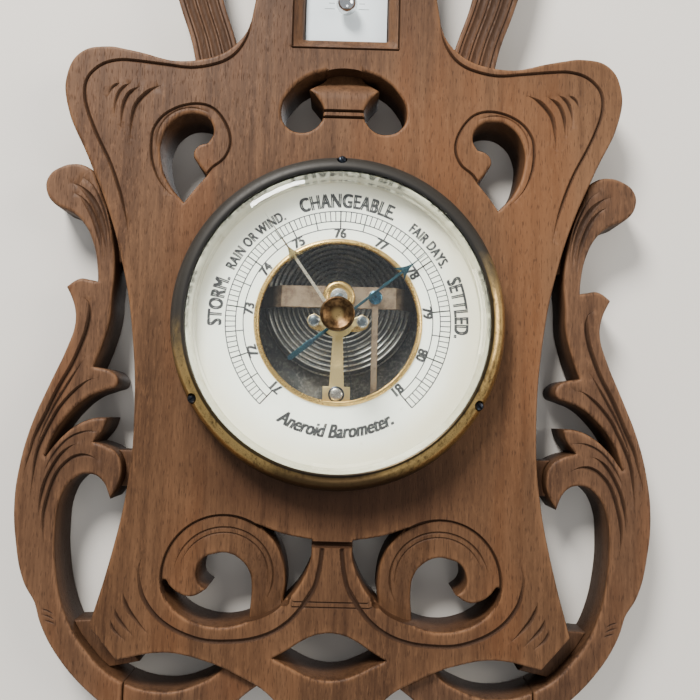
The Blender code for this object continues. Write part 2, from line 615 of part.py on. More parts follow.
for target, (x, height) in zip(spring_line.points, spring_side):
    target.co = (x * MM, -height * MM, 0.0, 1.0)
spring_line.use_cyclic_u = True
main_spring = bpy.data.objects.new("main_spring", spring_data)
main_spring.location = (0.0, 0.0, CAPSULE_Z * MM)
main_spring = solid(add(main_spring, BROWN_STEEL))
cut(main_spring, pin("post_hole", 2.0, 10.0, 25.0, None, z=CAPSULE_Z, collection=cutters))
for side, sign in (("left", -1), ("right", 1)):
    slotted_screw(f"spring_screw_{side}", 2.0, 1.2, FOOT_LOW + 1.2, FOOT_LOW + 1.1 + GAP, FOOT_LOW + 2.8,
                  BRIGHT_STEEL, sign * 46.0, CAPSULE_Z, 40.0)

# ---------------------------------------------------------------- movement: levers, rocking shaft and chain

LEVER_END = SHAFT_Z + LINK_ARM_LENGTH
plate("main_lever", [[
    (LEVER_X, CAPSULE_Z + 3.2), (LEVER_X + 3.4, CAPSULE_Z), corner(LEVER_X + 1.3, CAPSULE_Z - 3.4),
    corner(LEVER_X + 1.3, LEVER_END - 1.6), corner(LEVER_X - 1.3, LEVER_END - 1.6),
    corner(LEVER_X - 1.3, CAPSULE_Z - 3.4), (LEVER_X - 3.4, CAPSULE_Z),
]], LEVER_LOW, LEVER_TOP, BROWN_STEEL)
slotted_screw("lever_screw", 2.9, 1.2, LEVER_TOP + 0.1, LEVER_TOP + GAP, LEVER_TOP + 1.4, BLUED_STEEL,
              LEVER_X, CAPSULE_Z, 35.0)
pin("link_rod", 0.5, SHAFT_HEIGHT + 1.6, LEVER_LOW - GAP, BRASS, LEVER_X, LEVER_END, 10)

SHAFT_LEFT = -6.0
SHAFT_RIGHT = 22.0
wire("rocking_shaft", [(SHAFT_LEFT, SHAFT_HEIGHT, SHAFT_Z), (SHAFT_RIGHT, SHAFT_HEIGHT, SHAFT_Z)], SHAFT_R,
     BRIGHT_STEEL)


def shaft_arm(name, x, length, towards_front):
    """A flat arm with a round hub on the rocking shaft. Its outline lies in the plane across the shaft."""
    hub, hole = 2.8, SHAFT_R + GAP
    turns = [math.radians(25 + i * 310 / 12) for i in range(13)]
    outline = [(hub * math.cos(a), hub * math.sin(a)) for a in turns]
    outline += [(length + 0.8, -0.9), (length + 0.8, 0.9)]
    data = bpy.data.curves.new(name, "CURVE")
    data.dimensions = "2D"
    data.fill_mode = "BOTH"
    data.extrude = 0.5 * MM
    bore = [(hole * math.cos(a), hole * math.sin(a)) for a in [math.radians(i * 30) for i in range(12)]]
    for loop in (outline, bore):
        spline = data.splines.new("POLY")
        spline.points.add(len(loop) - 1)
        for target, (along, across) in zip(spline.points, loop):
            target.co = (along * MM, across * MM, 0.0, 1.0)
        spline.use_cyclic_u = True
    obj = bpy.data.objects.new(name, data)
    turn = 90.0 if towards_front else 0.0
    obj.matrix_world = (Matrix.Translation((x * MM, -SHAFT_HEIGHT * MM, SHAFT_Z * MM))
                        @ Matrix.Rotation(math.radians(turn), 4, "X")
                        @ Matrix.Rotation(math.radians(-90), 4, "Y"))
    return add(obj, BRASS)


shaft_arm("chain_arm", CHAIN_ARM_X, CHAIN_ARM_LENGTH, True)
shaft_arm("link_arm", LEVER_X, LINK_ARM_LENGTH, False)
for side, low in (("left", SHAFT_LEFT - GAP - 1.5), ("right", SHAFT_RIGHT + GAP)):
    block(f"shaft_bracket_{side}", (low, low + 1.5), (PLATE_TOP + GAP, SHAFT_HEIGHT + 3.0),
          (SHAFT_Z - 3.0, SHAFT_Z + 3.0), BRASS)

PULLEY_R = 1.5
PULLEY_HEIGHT = SHAFT_HEIGHT + CHAIN_ARM_LENGTH
chain_path = [(PULLEY_R + 0.8, PULLEY_HEIGHT, 0.0), (CHAIN_ARM_X, PULLEY_HEIGHT, SHAFT_Z + 1.4)]
wire("chain", chain_path, 0.3, BRIGHT_STEEL)

# ---------------------------------------------------------------- movement: pointer arbor and its bridge

turned("pointer_arbor", [
    (0.0, POINTER_LOW - GAP), (0.7, POINTER_LOW - GAP), (0.7, COCK_TOP + GAP + 0.2),
    (0.0, COCK_TOP + GAP + 0.2),
], BRIGHT_STEEL, 12)
ring("pulley", 1.0, PULLEY_R, PULLEY_HEIGHT - 1.0, PULLEY_HEIGHT + 1.0, BRASS, 16)

SPIRAL_TURNS = 4
SPIRAL_POINTS = 12
spiral = []
for step in range(SPIRAL_TURNS * SPIRAL_POINTS + 1):
    angle = 2 * math.pi * step / SPIRAL_POINTS
    radius = 1.6 + 4.4 * step / (SPIRAL_TURNS * SPIRAL_POINTS)
    spiral.append((radius * math.cos(angle), COCK_TOP + 1.8, radius * math.sin(angle)))
wire("hairspring", spiral, 0.16, BLUED_STEEL)

plate("arbor_cock", [[
    (-COCK_SCREW_X, 3.4), corner(-6.0, 2.2), corner(6.0, 2.2), (COCK_SCREW_X, 3.4),
    (COCK_SCREW_X + 2.8, 0.6), (COCK_SCREW_X, -2.2), corner(5.0, -2.6), corner(-5.0, -2.6),
    (-COCK_SCREW_X, -2.2), (-COCK_SCREW_X - 2.8, 0.6),
]], COCK_LOW, COCK_TOP, BRASS, 3)

BRIDGE_HALF = [
    corner(0.0, 4.2), (3.6, 3.0), corner(6.4, 1.9), (COCK_SCREW_X - 2.0, 2.55), (COCK_SCREW_X, 3.4),
    (COCK_SCREW_X + 2.8, 0.6), (COCK_SCREW_X, -2.2), (COCK_SCREW_X - 2.2, -1.2), corner(6.0, -2.4),
    (4.6, -4.4), corner(2.1, -5.9), corner(3.0, -26.4), corner(5.6, -26.4), corner(5.6, -33.0),
    corner(0.0, -33.0),
]
plate("pointer_bridge", [
    both_sides(BRIDGE_HALF), circle(1.3, 12), circle(1.5, 12, z=BRIDGE_SCREW_Z),
    circle(1.3, 12, COCK_SCREW_X, 0.6), circle(1.3, 12, -COCK_SCREW_X, 0.6),
], BRIDGE_LOW, BRIDGE_TOP, BRASS, 3)
pin("bridge_pillar", 3.0, PLATE_TOP + GAP, BRIDGE_LOW - GAP, BRASS, z=BRIDGE_SCREW_Z)
slotted_screw("bridge_screw", 2.7, 1.1, BRIDGE_LOW - 0.1, BRIDGE_TOP + GAP, BRIDGE_TOP + 1.4, BRIGHT_STEEL,
              z=BRIDGE_SCREW_Z, turn=10.0)
for side, sign in (("left", -1), ("right", 1)):
    slotted_screw(f"cock_screw_{side}", 2.4, 1.0, COCK_TOP + GAP, BRIDGE_TOP + GAP, BRIDGE_TOP + 1.2,
                  BRIGHT_STEEL, sign * COCK_SCREW_X, 0.6, 25.0 * sign)

# ---------------------------------------------------------------- hands and knob

POINTER_HALF = [
    corner(0.0, 47.5), corner(0.35, 38.0), corner(3.4, 31.2), corner(0.5, 33.2), corner(0.55, 3.0),
    (2.4, 0.0), corner(0.6, -3.0), corner(0.7, -13.0), corner(1.2, -14.0), corner(1.0, -25.0),
    corner(0.0, -25.6),
]
SET_HAND_HALF = [
    corner(0.0, 54.0), corner(0.4, 36.0), corner(3.7, 30.2), corner(0.6, 32.2), corner(0.65, 3.6),
    (2.9, 0.0),
    (0.0, -3.0),
]


def hand(name, half, low, high, angle, hole, material):
    """A flat hand, drawn upright and turned clockwise about the dial's axis by its angle."""
    obj = plate(name, [both_sides(half), circle(hole, 12)], low, high, material, 3)
    obj.rotation_euler = (math.radians(90), math.radians(angle), 0.0)
    return obj


hand("pointer", POINTER_HALF, POINTER_LOW, POINTER_TOP, POINTER_ANGLE, 0.5, BLUED_STEEL)
hand("set_hand", SET_HAND_HALF, SET_HAND_LOW, SET_HAND_TOP, SET_HAND_ANGLE, 1.0, BRASS)
turned("knob", [
    (0.0, KNOB_FRONT - 1.6), (1.6, KNOB_FRONT - 1.5), (4.8, KNOB_FRONT - 0.2), (5.8, KNOB_FRONT),
    (KNOB_R, KNOB_FRONT - 0.8),
    (KNOB_R, KNOB_FRONT - 3.2), (4.6, KNOB_FRONT - 4.6), (3.0, KNOB_FRONT - 7.0), (2.8, 37.0), (4.6, 35.4),
    (4.6, GLASS_TOP + GAP), (1.9, GLASS_TOP + GAP), (1.9, SET_HAND_TOP + GAP), (0.0, SET_HAND_TOP + GAP),
], KNOB_BRASS, 20)
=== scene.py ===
"""Looks of the carved wall barometer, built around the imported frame.

Sizes are millimetres in the front view (x, z); "height" is the distance in front of the wall.
The sections follow the order in which the instrument is put together.
"""
import math

import bmesh
import bpy
import numpy as np
from mathutils import Matrix, Vector
from mathutils.geometry import delaunay_2d_cdt
from mathutils.kdtree import KDTree


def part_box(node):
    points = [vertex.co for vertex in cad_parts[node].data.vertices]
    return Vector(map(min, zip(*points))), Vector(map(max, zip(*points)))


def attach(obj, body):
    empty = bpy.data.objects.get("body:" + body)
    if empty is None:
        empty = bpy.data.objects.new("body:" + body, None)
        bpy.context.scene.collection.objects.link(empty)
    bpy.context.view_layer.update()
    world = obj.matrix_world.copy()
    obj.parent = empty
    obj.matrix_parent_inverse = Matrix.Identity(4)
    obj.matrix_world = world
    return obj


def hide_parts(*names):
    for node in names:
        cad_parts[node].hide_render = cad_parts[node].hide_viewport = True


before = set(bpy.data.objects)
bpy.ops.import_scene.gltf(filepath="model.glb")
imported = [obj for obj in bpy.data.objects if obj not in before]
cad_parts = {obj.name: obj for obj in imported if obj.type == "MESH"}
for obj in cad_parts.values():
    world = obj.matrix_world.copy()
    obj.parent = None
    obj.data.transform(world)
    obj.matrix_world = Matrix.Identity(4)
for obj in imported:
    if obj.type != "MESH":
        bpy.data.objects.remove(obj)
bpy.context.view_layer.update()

scene = bpy.context.scene
MM = 0.001


# ---------------------------------------------------------------- view, wall and light
# The barometer hangs on a plain pale wall. It is seen from close in front, a little below
# its middle, under soft light from high on the left and from the room on the right.

camera = bpy.data.objects.new("camera", bpy.data.cameras.new("camera"))
camera.data.lens = 36.0
camera.data.sensor_width = 36.0
camera.data.clip_start = 0.01
camera.location = (0.0037, -0.3103, -0.0355)
PAN, TILT, ROLL = math.radians(-0.30), math.radians(94.84), math.radians(1.48)
camera.matrix_world = (Matrix.Translation(camera.location) @ Matrix.Rotation(PAN, 4, "Z")
                       @ Matrix.Rotation(TILT, 4, "X") @ Matrix.Rotation(ROLL, 4, "Z"))
scene.collection.objects.link(camera)
scene.camera = camera


class Wire:
    """One output of a shader node, which adds a Math node whenever it is used in arithmetic."""

    def __init__(self, tree, socket):
        self.tree = tree
        self.socket = socket

    def maths(self, operation, *values):
        return new_node(self.tree, "ShaderNodeMath", enumerate(values), 0, {"operation": operation})

    def __add__(self, other):
        return self.maths("ADD", self, other)

    def __sub__(self, other):
        return self.maths("SUBTRACT", self, other)

    def __rsub__(self, other):
        return self.maths("SUBTRACT", other, self)

    def __mul__(self, other):
        return self.maths("MULTIPLY", self, other)

    def __truediv__(self, other):
        return self.maths("DIVIDE", self, other)

    def __pow__(self, other):
        return self.maths("POWER", self, other)

    __radd__ = __add__
    __rmul__ = __mul__


def feed(tree, socket, value):
    """Link a wire to a socket, or set its value."""
    if isinstance(value, Wire):
        tree.links.new(value.socket, socket)
    else:
        socket.default_value = value


def new_node(tree, kind, sockets, output, settings):
    node = tree.nodes.new(kind)
    for key, value in settings.items():
        setattr(node, key, value)
    for socket, value in dict(sockets).items():
        feed(tree, node.inputs[socket], value)
    return Wire(tree, node.outputs[output])


class Finish:
    """A material under construction, on one Principled shader."""

    def __init__(self, name, colour, roughness, metallic=0.0, **fixed):
        self.material = bpy.data.materials.new(name)
        self.material.use_nodes = True
        self.tree = self.material.node_tree
        self.shader = self.tree.nodes["Principled BSDF"]
        self.set("Base Color", (*colour, 1.0))
        self.set("Roughness", roughness)
        self.set("Metallic", metallic)
        for socket, value in fixed.items():
            self.set(socket.replace("_", " "), value)
        self.place = self.add("TexCoord", output=3)

    def set(self, socket, value):
        feed(self.tree, self.shader.inputs[socket], value)

    def add(self, kind, sockets=(), output=0, **settings):
        """Add any node: its settings first, then the values or links of its sockets."""
        return new_node(self.tree, "ShaderNode" + kind, sockets, output, settings)

    def mix(self, factor, first, second):
        """Blend two colours."""
        first = first if isinstance(first, Wire) else (*first, 1.0)
        second = second if isinstance(second, Wire) else (*second, 1.0)
        return self.add("Mix", {0: factor, 6: first, 7: second}, output=2, data_type="RGBA")

    def step(self, value, low, high, smooth=True):
        """0 below low and 1 above high, or the other way round when low is the larger."""
        kind = "SMOOTHSTEP" if smooth else "LINEAR"
        if low <= high:
            return self.add("MapRange", {0: value, 1: low, 2: high, 3: 0.0, 4: 1.0}, interpolation_type=kind)
        return self.add("MapRange", {0: value, 1: high, 2: low, 3: 1.0, 4: 0.0}, interpolation_type=kind)

    def noise(self, scale, stretch=(1.0, 1.0, 1.0), detail=4.0, rough=0.55, shift=(0.0, 0.0, 0.0)):
        mapped = self.add("Mapping", {"Vector": self.place, "Scale": stretch, "Location": shift})
        return self.add("TexNoise", {"Vector": mapped, "Scale": scale, "Detail": detail, "Roughness": rough})

    def axes(self):
        """The x, y and z of the place on the piece, in metres."""
        return [self.add("SeparateXYZ", {0: self.place}, output=i) for i in range(3)]

    def reach(self, x, z):
        """The distance from an axis that runs out of the wall, from two wires across it."""
        across = self.add("CombineXYZ", {0: x, 1: 0.0, 2: z})
        return self.add("VectorMath", {0: across}, output=1, operation="LENGTH")

    def attribute(self, name):
        return self.add("Attribute", output=2, attribute_name=name)

    def surface(self):
        return Wire(self.tree, self.shader.outputs[0])

    def bump(self, height, strength, distance):
        self.set("Normal", self.add("Bump", {"Height": height, "Strength": strength, "Distance": distance}))


def new_piece(name, mesh, finish, sharp_from=None):
    """An object at the origin with one finish; past the given angle its edges stay sharp."""
    mesh.materials.clear()
    mesh.materials.append(finish.material)
    if sharp_from is not None:
        mesh.shade_smooth()
        mesh.set_sharp_from_angle(angle=math.radians(sharp_from))
    piece = bpy.data.objects.new(name, mesh)
    scene.collection.objects.link(piece)
    return piece


wall_finish = Finish("pale_wall", (0.745, 0.70, 0.635), 0.9)
ends = wall_finish.tree.nodes["Material Output"]
facing = wall_finish.add("NewGeometry", output=6)
clear = wall_finish.add("BsdfTransparent")
both = wall_finish.add("MixShader", {0: facing, 1: wall_finish.surface(), 2: clear})
wall_finish.tree.links.new(both.socket, ends.inputs["Surface"])
WALL_HALF, WALL_GAP = 1.4, 0.0012
wall_mesh = bpy.data.meshes.new("wall")
wall_corners = [(x * WALL_HALF, WALL_GAP, z * WALL_HALF) for x, z in ((-1, -1), (1, -1), (1, 1), (-1, 1))]
wall_mesh.from_pydata(wall_corners, [], [(0, 1, 2, 3)])
wall = new_piece("wall", wall_mesh, wall_finish)
wall.visible_shadow = False

world = bpy.data.worlds.new("room")
world.use_nodes = True
backdrop = world.node_tree.nodes["Background"]
backdrop.inputs["Color"].default_value = (0.93, 0.96, 1.0, 1.0)
backdrop.inputs["Strength"].default_value = 0.50
scene.world = world


def lamp(name, place, aim, size, watts, colour=(1.0, 1.0, 1.0)):
    data = bpy.data.lights.new(name, "AREA")
    data.shape = "DISK"
    data.size = size
    data.energy = watts
    data.color = colour
    obj = bpy.data.objects.new(name, data)
    obj.location = place
    obj.rotation_euler = (Vector(aim) - Vector(place)).to_track_quat("-Z", "Y").to_euler()
    scene.collection.objects.link(obj)


lamp("window", (-0.42, -0.78, 0.95), (0, 0, 0), 0.42, 35.0, (1.0, 0.98, 0.95))
lamp("room_right", (1.1, -0.8, 0.25), (0, 0, 0), 0.7, 9.4, (1.0, 0.95, 0.88))
lamp("from_below", (0.1, -0.9, -1.0), (0, 0, -0.05), 0.6, 2.8)
lamp("behind", (0.5, 0.9, 0.7), (0, 0, 0.1), 0.8, 10.0)


# ---------------------------------------------------------------- front board
# One walnut plank, 21 mm thick, fret-sawn to its outline and pierced for the volutes. The
# carver then cut V lines and comma strokes, sank the palmette and let the scrolls dive.

def spread(value, low, high):
    """A smooth step from 0 at low to 1 at high."""
    t = np.clip((np.asarray(value) - low) / (high - low), 0.0, 1.0)
    return t * t * (3 - 2 * t)


def front_of(node):
    """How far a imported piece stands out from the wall, in millimetres."""
    return -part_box(node)[0].y / MM


def plan_loops(node, heights):
    """The closed outlines, in the front view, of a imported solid's flat faces at these heights."""
    edit = bmesh.new()
    edit.from_mesh(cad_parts[node].data)
    bmesh.ops.remove_doubles(edit, verts=edit.verts, dist=0.002 * MM)
    seen = {}
    spots = {}
    for face in edit.faces:
        level = -face.calc_center_median().y / MM
        if face.normal.y > -0.9 or min(abs(level - height) for height in heights) > 0.2:
            continue
        ring = []
        for corner in face.verts:
            key = (round(corner.co.x / MM, 2), round(corner.co.z / MM, 2))
            spots[key] = Vector((corner.co.x / MM, corner.co.z / MM))
            ring.append(key)
        for start, end in zip(ring, ring[1:] + ring[:1]):
            if (end, start) in seen:
                del seen[(end, start)]
            else:
                seen[(start, end)] = True
    edit.free()
    following = dict(seen.keys())
    loops = []
    while following:
        start, spot = next(iter(following.items()))
        loop = [spots[start]]
        del following[start]
        while spot != start and spot in following:
            loop.append(spots[spot])
            spot = following.pop(spot)
        loops.append(loop)
    return [loop for loop in loops if len(loop) > 3]


def eased(points, spacing, cyclic=True, corner=40.0):
    """A curve through the points, with its sharp corners kept, as points about a spacing apart."""
    count = len(points)
    points = [Vector(p) for p in points]
    result = []
    for i in range(count if cyclic else count - 1):
        here, there = points[i], points[(i + 1) % count]
        before = points[i - 1] if cyclic or i > 0 else here * 2 - there
        after = points[(i + 2) % count] if cyclic or i + 2 < count else there * 2 - here
        chord = there - here
        length = chord.length
        if length < 1e-4:
            continue
        turn_in = chord.angle(here - before, 0.0)
        turn_out = chord.angle(after - there, 0.0)
        start = chord.normalized() if math.degrees(turn_in) > corner else (there - before).normalized()
        end = chord.normalized() if math.degrees(turn_out) > corner else (after - here).normalized()
        steps = max(1, math.ceil(length / spacing))
        for step in range(steps):
            t = step / steps
            a, b = 2 * t ** 3 - 3 * t ** 2 + 1, t ** 3 - 2 * t ** 2 + t
            c, d = -2 * t ** 3 + 3 * t ** 2, t ** 3 - t ** 2
            result.append(here * a + start * (b * length) + there * c + end * (d * length))
    if not cyclic:
        result.append(points[-1])
    return [(p.x, p.y) for p in result]


def nearest(spots, path, cyclic=False):
    """For each spot, the distance to a path and how far along the path it lies, from 0 to 1."""
    path = np.array(path)
    starts = path if cyclic else path[:-1]
    ends = np.roll(path, -1, axis=0) if cyclic else path[1:]
    runs = ends - starts
    squares = np.maximum((runs ** 2).sum(1), 1e-12)
    lengths = np.sqrt(squares)
    sums = np.concatenate([[0.0], np.cumsum(lengths)])
    tree = KDTree(len(path))
    for i, (x, z) in enumerate(path):
        tree.insert((x, z, 0.0), i)
    tree.balance()
    close = np.array([tree.find((x, z, 0.0))[1] for x, z in spots], int)
    away, along = np.full(len(spots), 1e9), np.zeros(len(spots))
    for shift in (-1, 0):
        best = (close + shift) % len(path) if cyclic else np.clip(close + shift, 0, len(starts) - 1)
        gap = spots - starts[best]
        t = np.clip((gap * runs[best]).sum(1) / squares[best], 0.0, 1.0)
        miss = np.linalg.norm(gap - t[:, None] * runs[best], axis=1)
        nearer = miss < away
        away[nearer] = miss[nearer]
        along[nearer] = ((sums[best] + t * lengths[best]) / sums[-1])[nearer]
    return away, along


def inside(spots, loop):
    """Which spots lie inside a closed outline."""
    loop = np.array(loop)
    result = np.zeros(len(spots), bool)
    x, z = spots[:, 0], spots[:, 1]
    for (x0, z0), (x1, z1) in zip(loop, np.roll(loop, -1, axis=0)):
        if z0 == z1:
            continue
        crossing = ((z0 > z) != (z1 > z)) & (x < (x1 - x0) * (z - z0) / (z1 - z0) + x0)
        result ^= crossing
    return result


class Cut:
    """One carved line: a smooth path with a half width and a depth, run out to nothing where it tapers."""

    def __init__(self, path, half=0.75, depth=0.9, taper=(0.0, 0.0), hollow=False, cyclic=False, dark=1.0):
        self.cyclic = cyclic
        self.path = eased(path, 0.75, cyclic=cyclic)
        self.half = half
        self.depth = depth
        self.taper = taper
        self.hollow = hollow
        self.dark = dark

    def fade(self, along):
        result = np.ones_like(along)
        if self.taper[0]:
            result *= spread(along, -0.02, self.taper[0])
        if self.taper[1]:
            result *= 1 - spread(along, 1 - self.taper[1], 1.02)
        return result

    def rows(self):
        """The mid line, and points on both flanks for the mesh to follow."""
        path = np.array(self.path)
        ahead = np.roll(path, -1, axis=0) - np.roll(path, 1, axis=0)
        if not self.cyclic:
            ahead[0], ahead[-1] = path[1] - path[0], path[-1] - path[-2]
        side = np.stack([ahead[:, 1], -ahead[:, 0]], 1)
        side /= np.maximum(np.linalg.norm(side, axis=1), 1e-9)[:, None]
        wide = self.half * self.fade(np.linspace(0, 1, len(path)))
        shares = (0.35, 0.7, 1.0, 1.35) if self.hollow else (0.5, 1.0, 1.3)
        flanks = [path + side * (wide * share * sign)[:, None] for share in shares for sign in (-1, 1)]
        return path, np.concatenate(flanks)

    def carve(self, spots):
        """How deep the cut is at each spot, and how much darker it is drawn there."""
        low = np.array(self.path).min(0) - self.half * 1.5
        high = np.array(self.path).max(0) + self.half * 1.5
        depth, dark = np.zeros(len(spots)), np.zeros(len(spots))
        close = np.where(((spots > low) & (spots < high)).all(1))[0]
        if len(close):
            away, along = nearest(spots[close], self.path, self.cyclic)
            fade = self.fade(along)
            share = np.clip(1 - away / (self.half * np.maximum(fade, 0.05)), 0.0, 1.0)
            form = 1 - (1 - share) ** 2 if self.hollow else share
            depth[close] = self.depth * fade * form
            dark[close] = np.clip(form * 1.5, 0, 1) * fade * self.dark
        return depth, dark


def mirrored(cuts):
    """The same cuts on the other half of the piece."""
    twins = []
    for cut in cuts:
        twin = Cut(cut.path, cut.half, cut.depth, cut.taper, cut.hollow, cut.cyclic, cut.dark)
        twin.path = [(-x, z) for x, z in cut.path]
        twins.append(twin)
    return cuts + twins


def finished(name, edit):
    """Close a mesh under construction, with its faces turned outwards."""
    bmesh.ops.recalc_face_normals(edit, faces=edit.faces)
    mesh = bpy.data.meshes.new(name)
    edit.to_mesh(mesh)
    edit.free()
    return mesh


def carved(name, node, height, cuts, finish, edge=1.2, form=None, ledges=(), spacing=0.85, field=3.4, back=0.05,
           corner=40.0, levels=None):
    """A plank piece: its packed outline with rounded edges, carved lines and a shaped front."""
    loops = [eased(loop, spacing, corner=corner) for loop in plan_loops(node, levels or [height])]
    rims = np.concatenate([np.array(loop) for loop in loops])
    spots, edges = [], []

    def run(points, cyclic):
        first = len(spots)
        spots.extend(map(tuple, points))
        edges.extend((first + i, first + i + 1) for i in range(len(points) - 1))
        if cyclic:
            edges.append((len(spots) - 1, first))

    for loop in loops:
        run(loop, True)
    rim_count = len(spots)
    rim_edges = list(edges)

    free = []
    for loop in loops:
        path = np.array(loop)
        ahead = np.roll(path, -1, axis=0) - np.roll(path, 1, axis=0)
        side = np.stack([ahead[:, 1], -ahead[:, 0]], 1)
        side /= np.maximum(np.linalg.norm(side, axis=1), 1e-9)[:, None]
        for share in (0.22, 0.6, 1.0, 1.25):
            free.append(path + side * edge * share)
            free.append(path - side * edge * share)
    for cut in cuts:
        free.append(cut.rows()[1])
    low, high = rims.min(0), rims.max(0)
    grid = np.stack(np.meshgrid(np.arange(low[0], high[0], field), np.arange(low[1], high[1], field)), -1)
    grid[1::2, :, 0] += field / 2
    free.append(grid.reshape(-1, 2))
    free = np.concatenate(free)
    within = np.zeros(len(free), bool)
    for loop in loops:
        within ^= inside(free, loop)
    free = free[within]
    away = np.full(len(free), 1e9)
    for loop in loops:
        away = np.minimum(away, nearest(free, loop, True)[0])
    free = free[away > edge * 0.2]
    _, unique = np.unique((free / 0.22).round().astype(int), axis=0, return_index=True)
    spots.extend(map(tuple, free[unique]))
    for cut in cuts:
        path = np.array(cut.path)
        held = np.zeros(len(path), bool)
        for loop in loops:
            held ^= inside(path, loop)
        near = np.full(len(path), 1e9)
        for loop in loops:
            near = np.minimum(near, nearest(path, loop, True)[0])
        path = path[held & (near > 0.3)]
        if len(path) > 1:
            first = len(spots)
            spots.extend(map(tuple, path))
            gaps = np.linalg.norm(np.diff(path, axis=0), axis=1)
            edges.extend((first + i, first + i + 1) for i in range(len(path) - 1) if gaps[i] < 1.2)
    for ledge in ledges:
        for shift in (-0.06, 0.06):
            run([(x + shift * 0.4, z + shift) for x, z in eased(ledge, 0.8, cyclic=False)], False)

    def triangles(points, held):
        flat, _, faces, origin, _, _ = delaunay_2d_cdt([Vector(p) for p in points], held, [], 0, 1e-5)
        flat = np.array([tuple(p) for p in flat])
        faces = np.array([tuple(face) for face in faces])
        middle = flat[faces].mean(1)
        kept = np.zeros(len(faces), bool)
        for loop in loops:
            kept ^= inside(middle, loop)
        return flat, faces[kept], origin

    flat, faces, origin = triangles(spots, edges)
    away = np.full(len(flat), 1e9)
    for loop in loops:
        away = np.minimum(away, nearest(flat, loop, True)[0])
    lift = np.full(len(flat), height) if form is None else form(flat)
    depth, dark = np.zeros(len(flat)), np.zeros(len(flat))
    for cut in cuts:
        deeper, darker = cut.carve(flat)
        depth, dark = np.maximum(depth, deeper), np.maximum(dark, darker)
    slack = np.clip(1 - away / edge, 0.0, 1.0)
    lift = lift - depth - edge * (1 - np.sqrt(np.maximum(1 - slack ** 2, 0.0)))
    worn = np.clip(1 - away / (edge * 1.6), 0.0, 1.0)

    edit = bmesh.new()
    shade = edit.verts.layers.float.new("carved")
    wear = edit.verts.layers.float.new("worn")
    face = []
    for (x, z), h, d, w in zip(flat, lift, dark, worn):
        spot = edit.verts.new((x * MM, -h * MM, z * MM))
        spot[shade], spot[wear] = d, w
        face.append(spot)
    for a, b, c in faces:
        edit.faces.new((face[a], face[b], face[c]))
    base, backs, _ = triangles(spots[:rim_count], rim_edges)
    rear = [edit.verts.new((x * MM, -back * MM, z * MM)) for x, z in base]
    for a, b, c in backs:
        edit.faces.new((rear[c], rear[b], rear[a]))
    for a, b in rim_edges:
        edit.faces.new((face[b], face[a], rear[a], rear[b]))
    bmesh.ops.delete(edit, geom=[spot for spot in edit.verts if not spot.link_faces], context="VERTS")
    return new_piece(name, finished(name, edit), finish, 38)


def fit(piece, body, slot, *nodes):
    """Hand a finished piece to its body and hide the solids it stands for; its slot is not used."""
    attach(piece, body)
    if nodes:
        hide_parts(*nodes)
    return piece


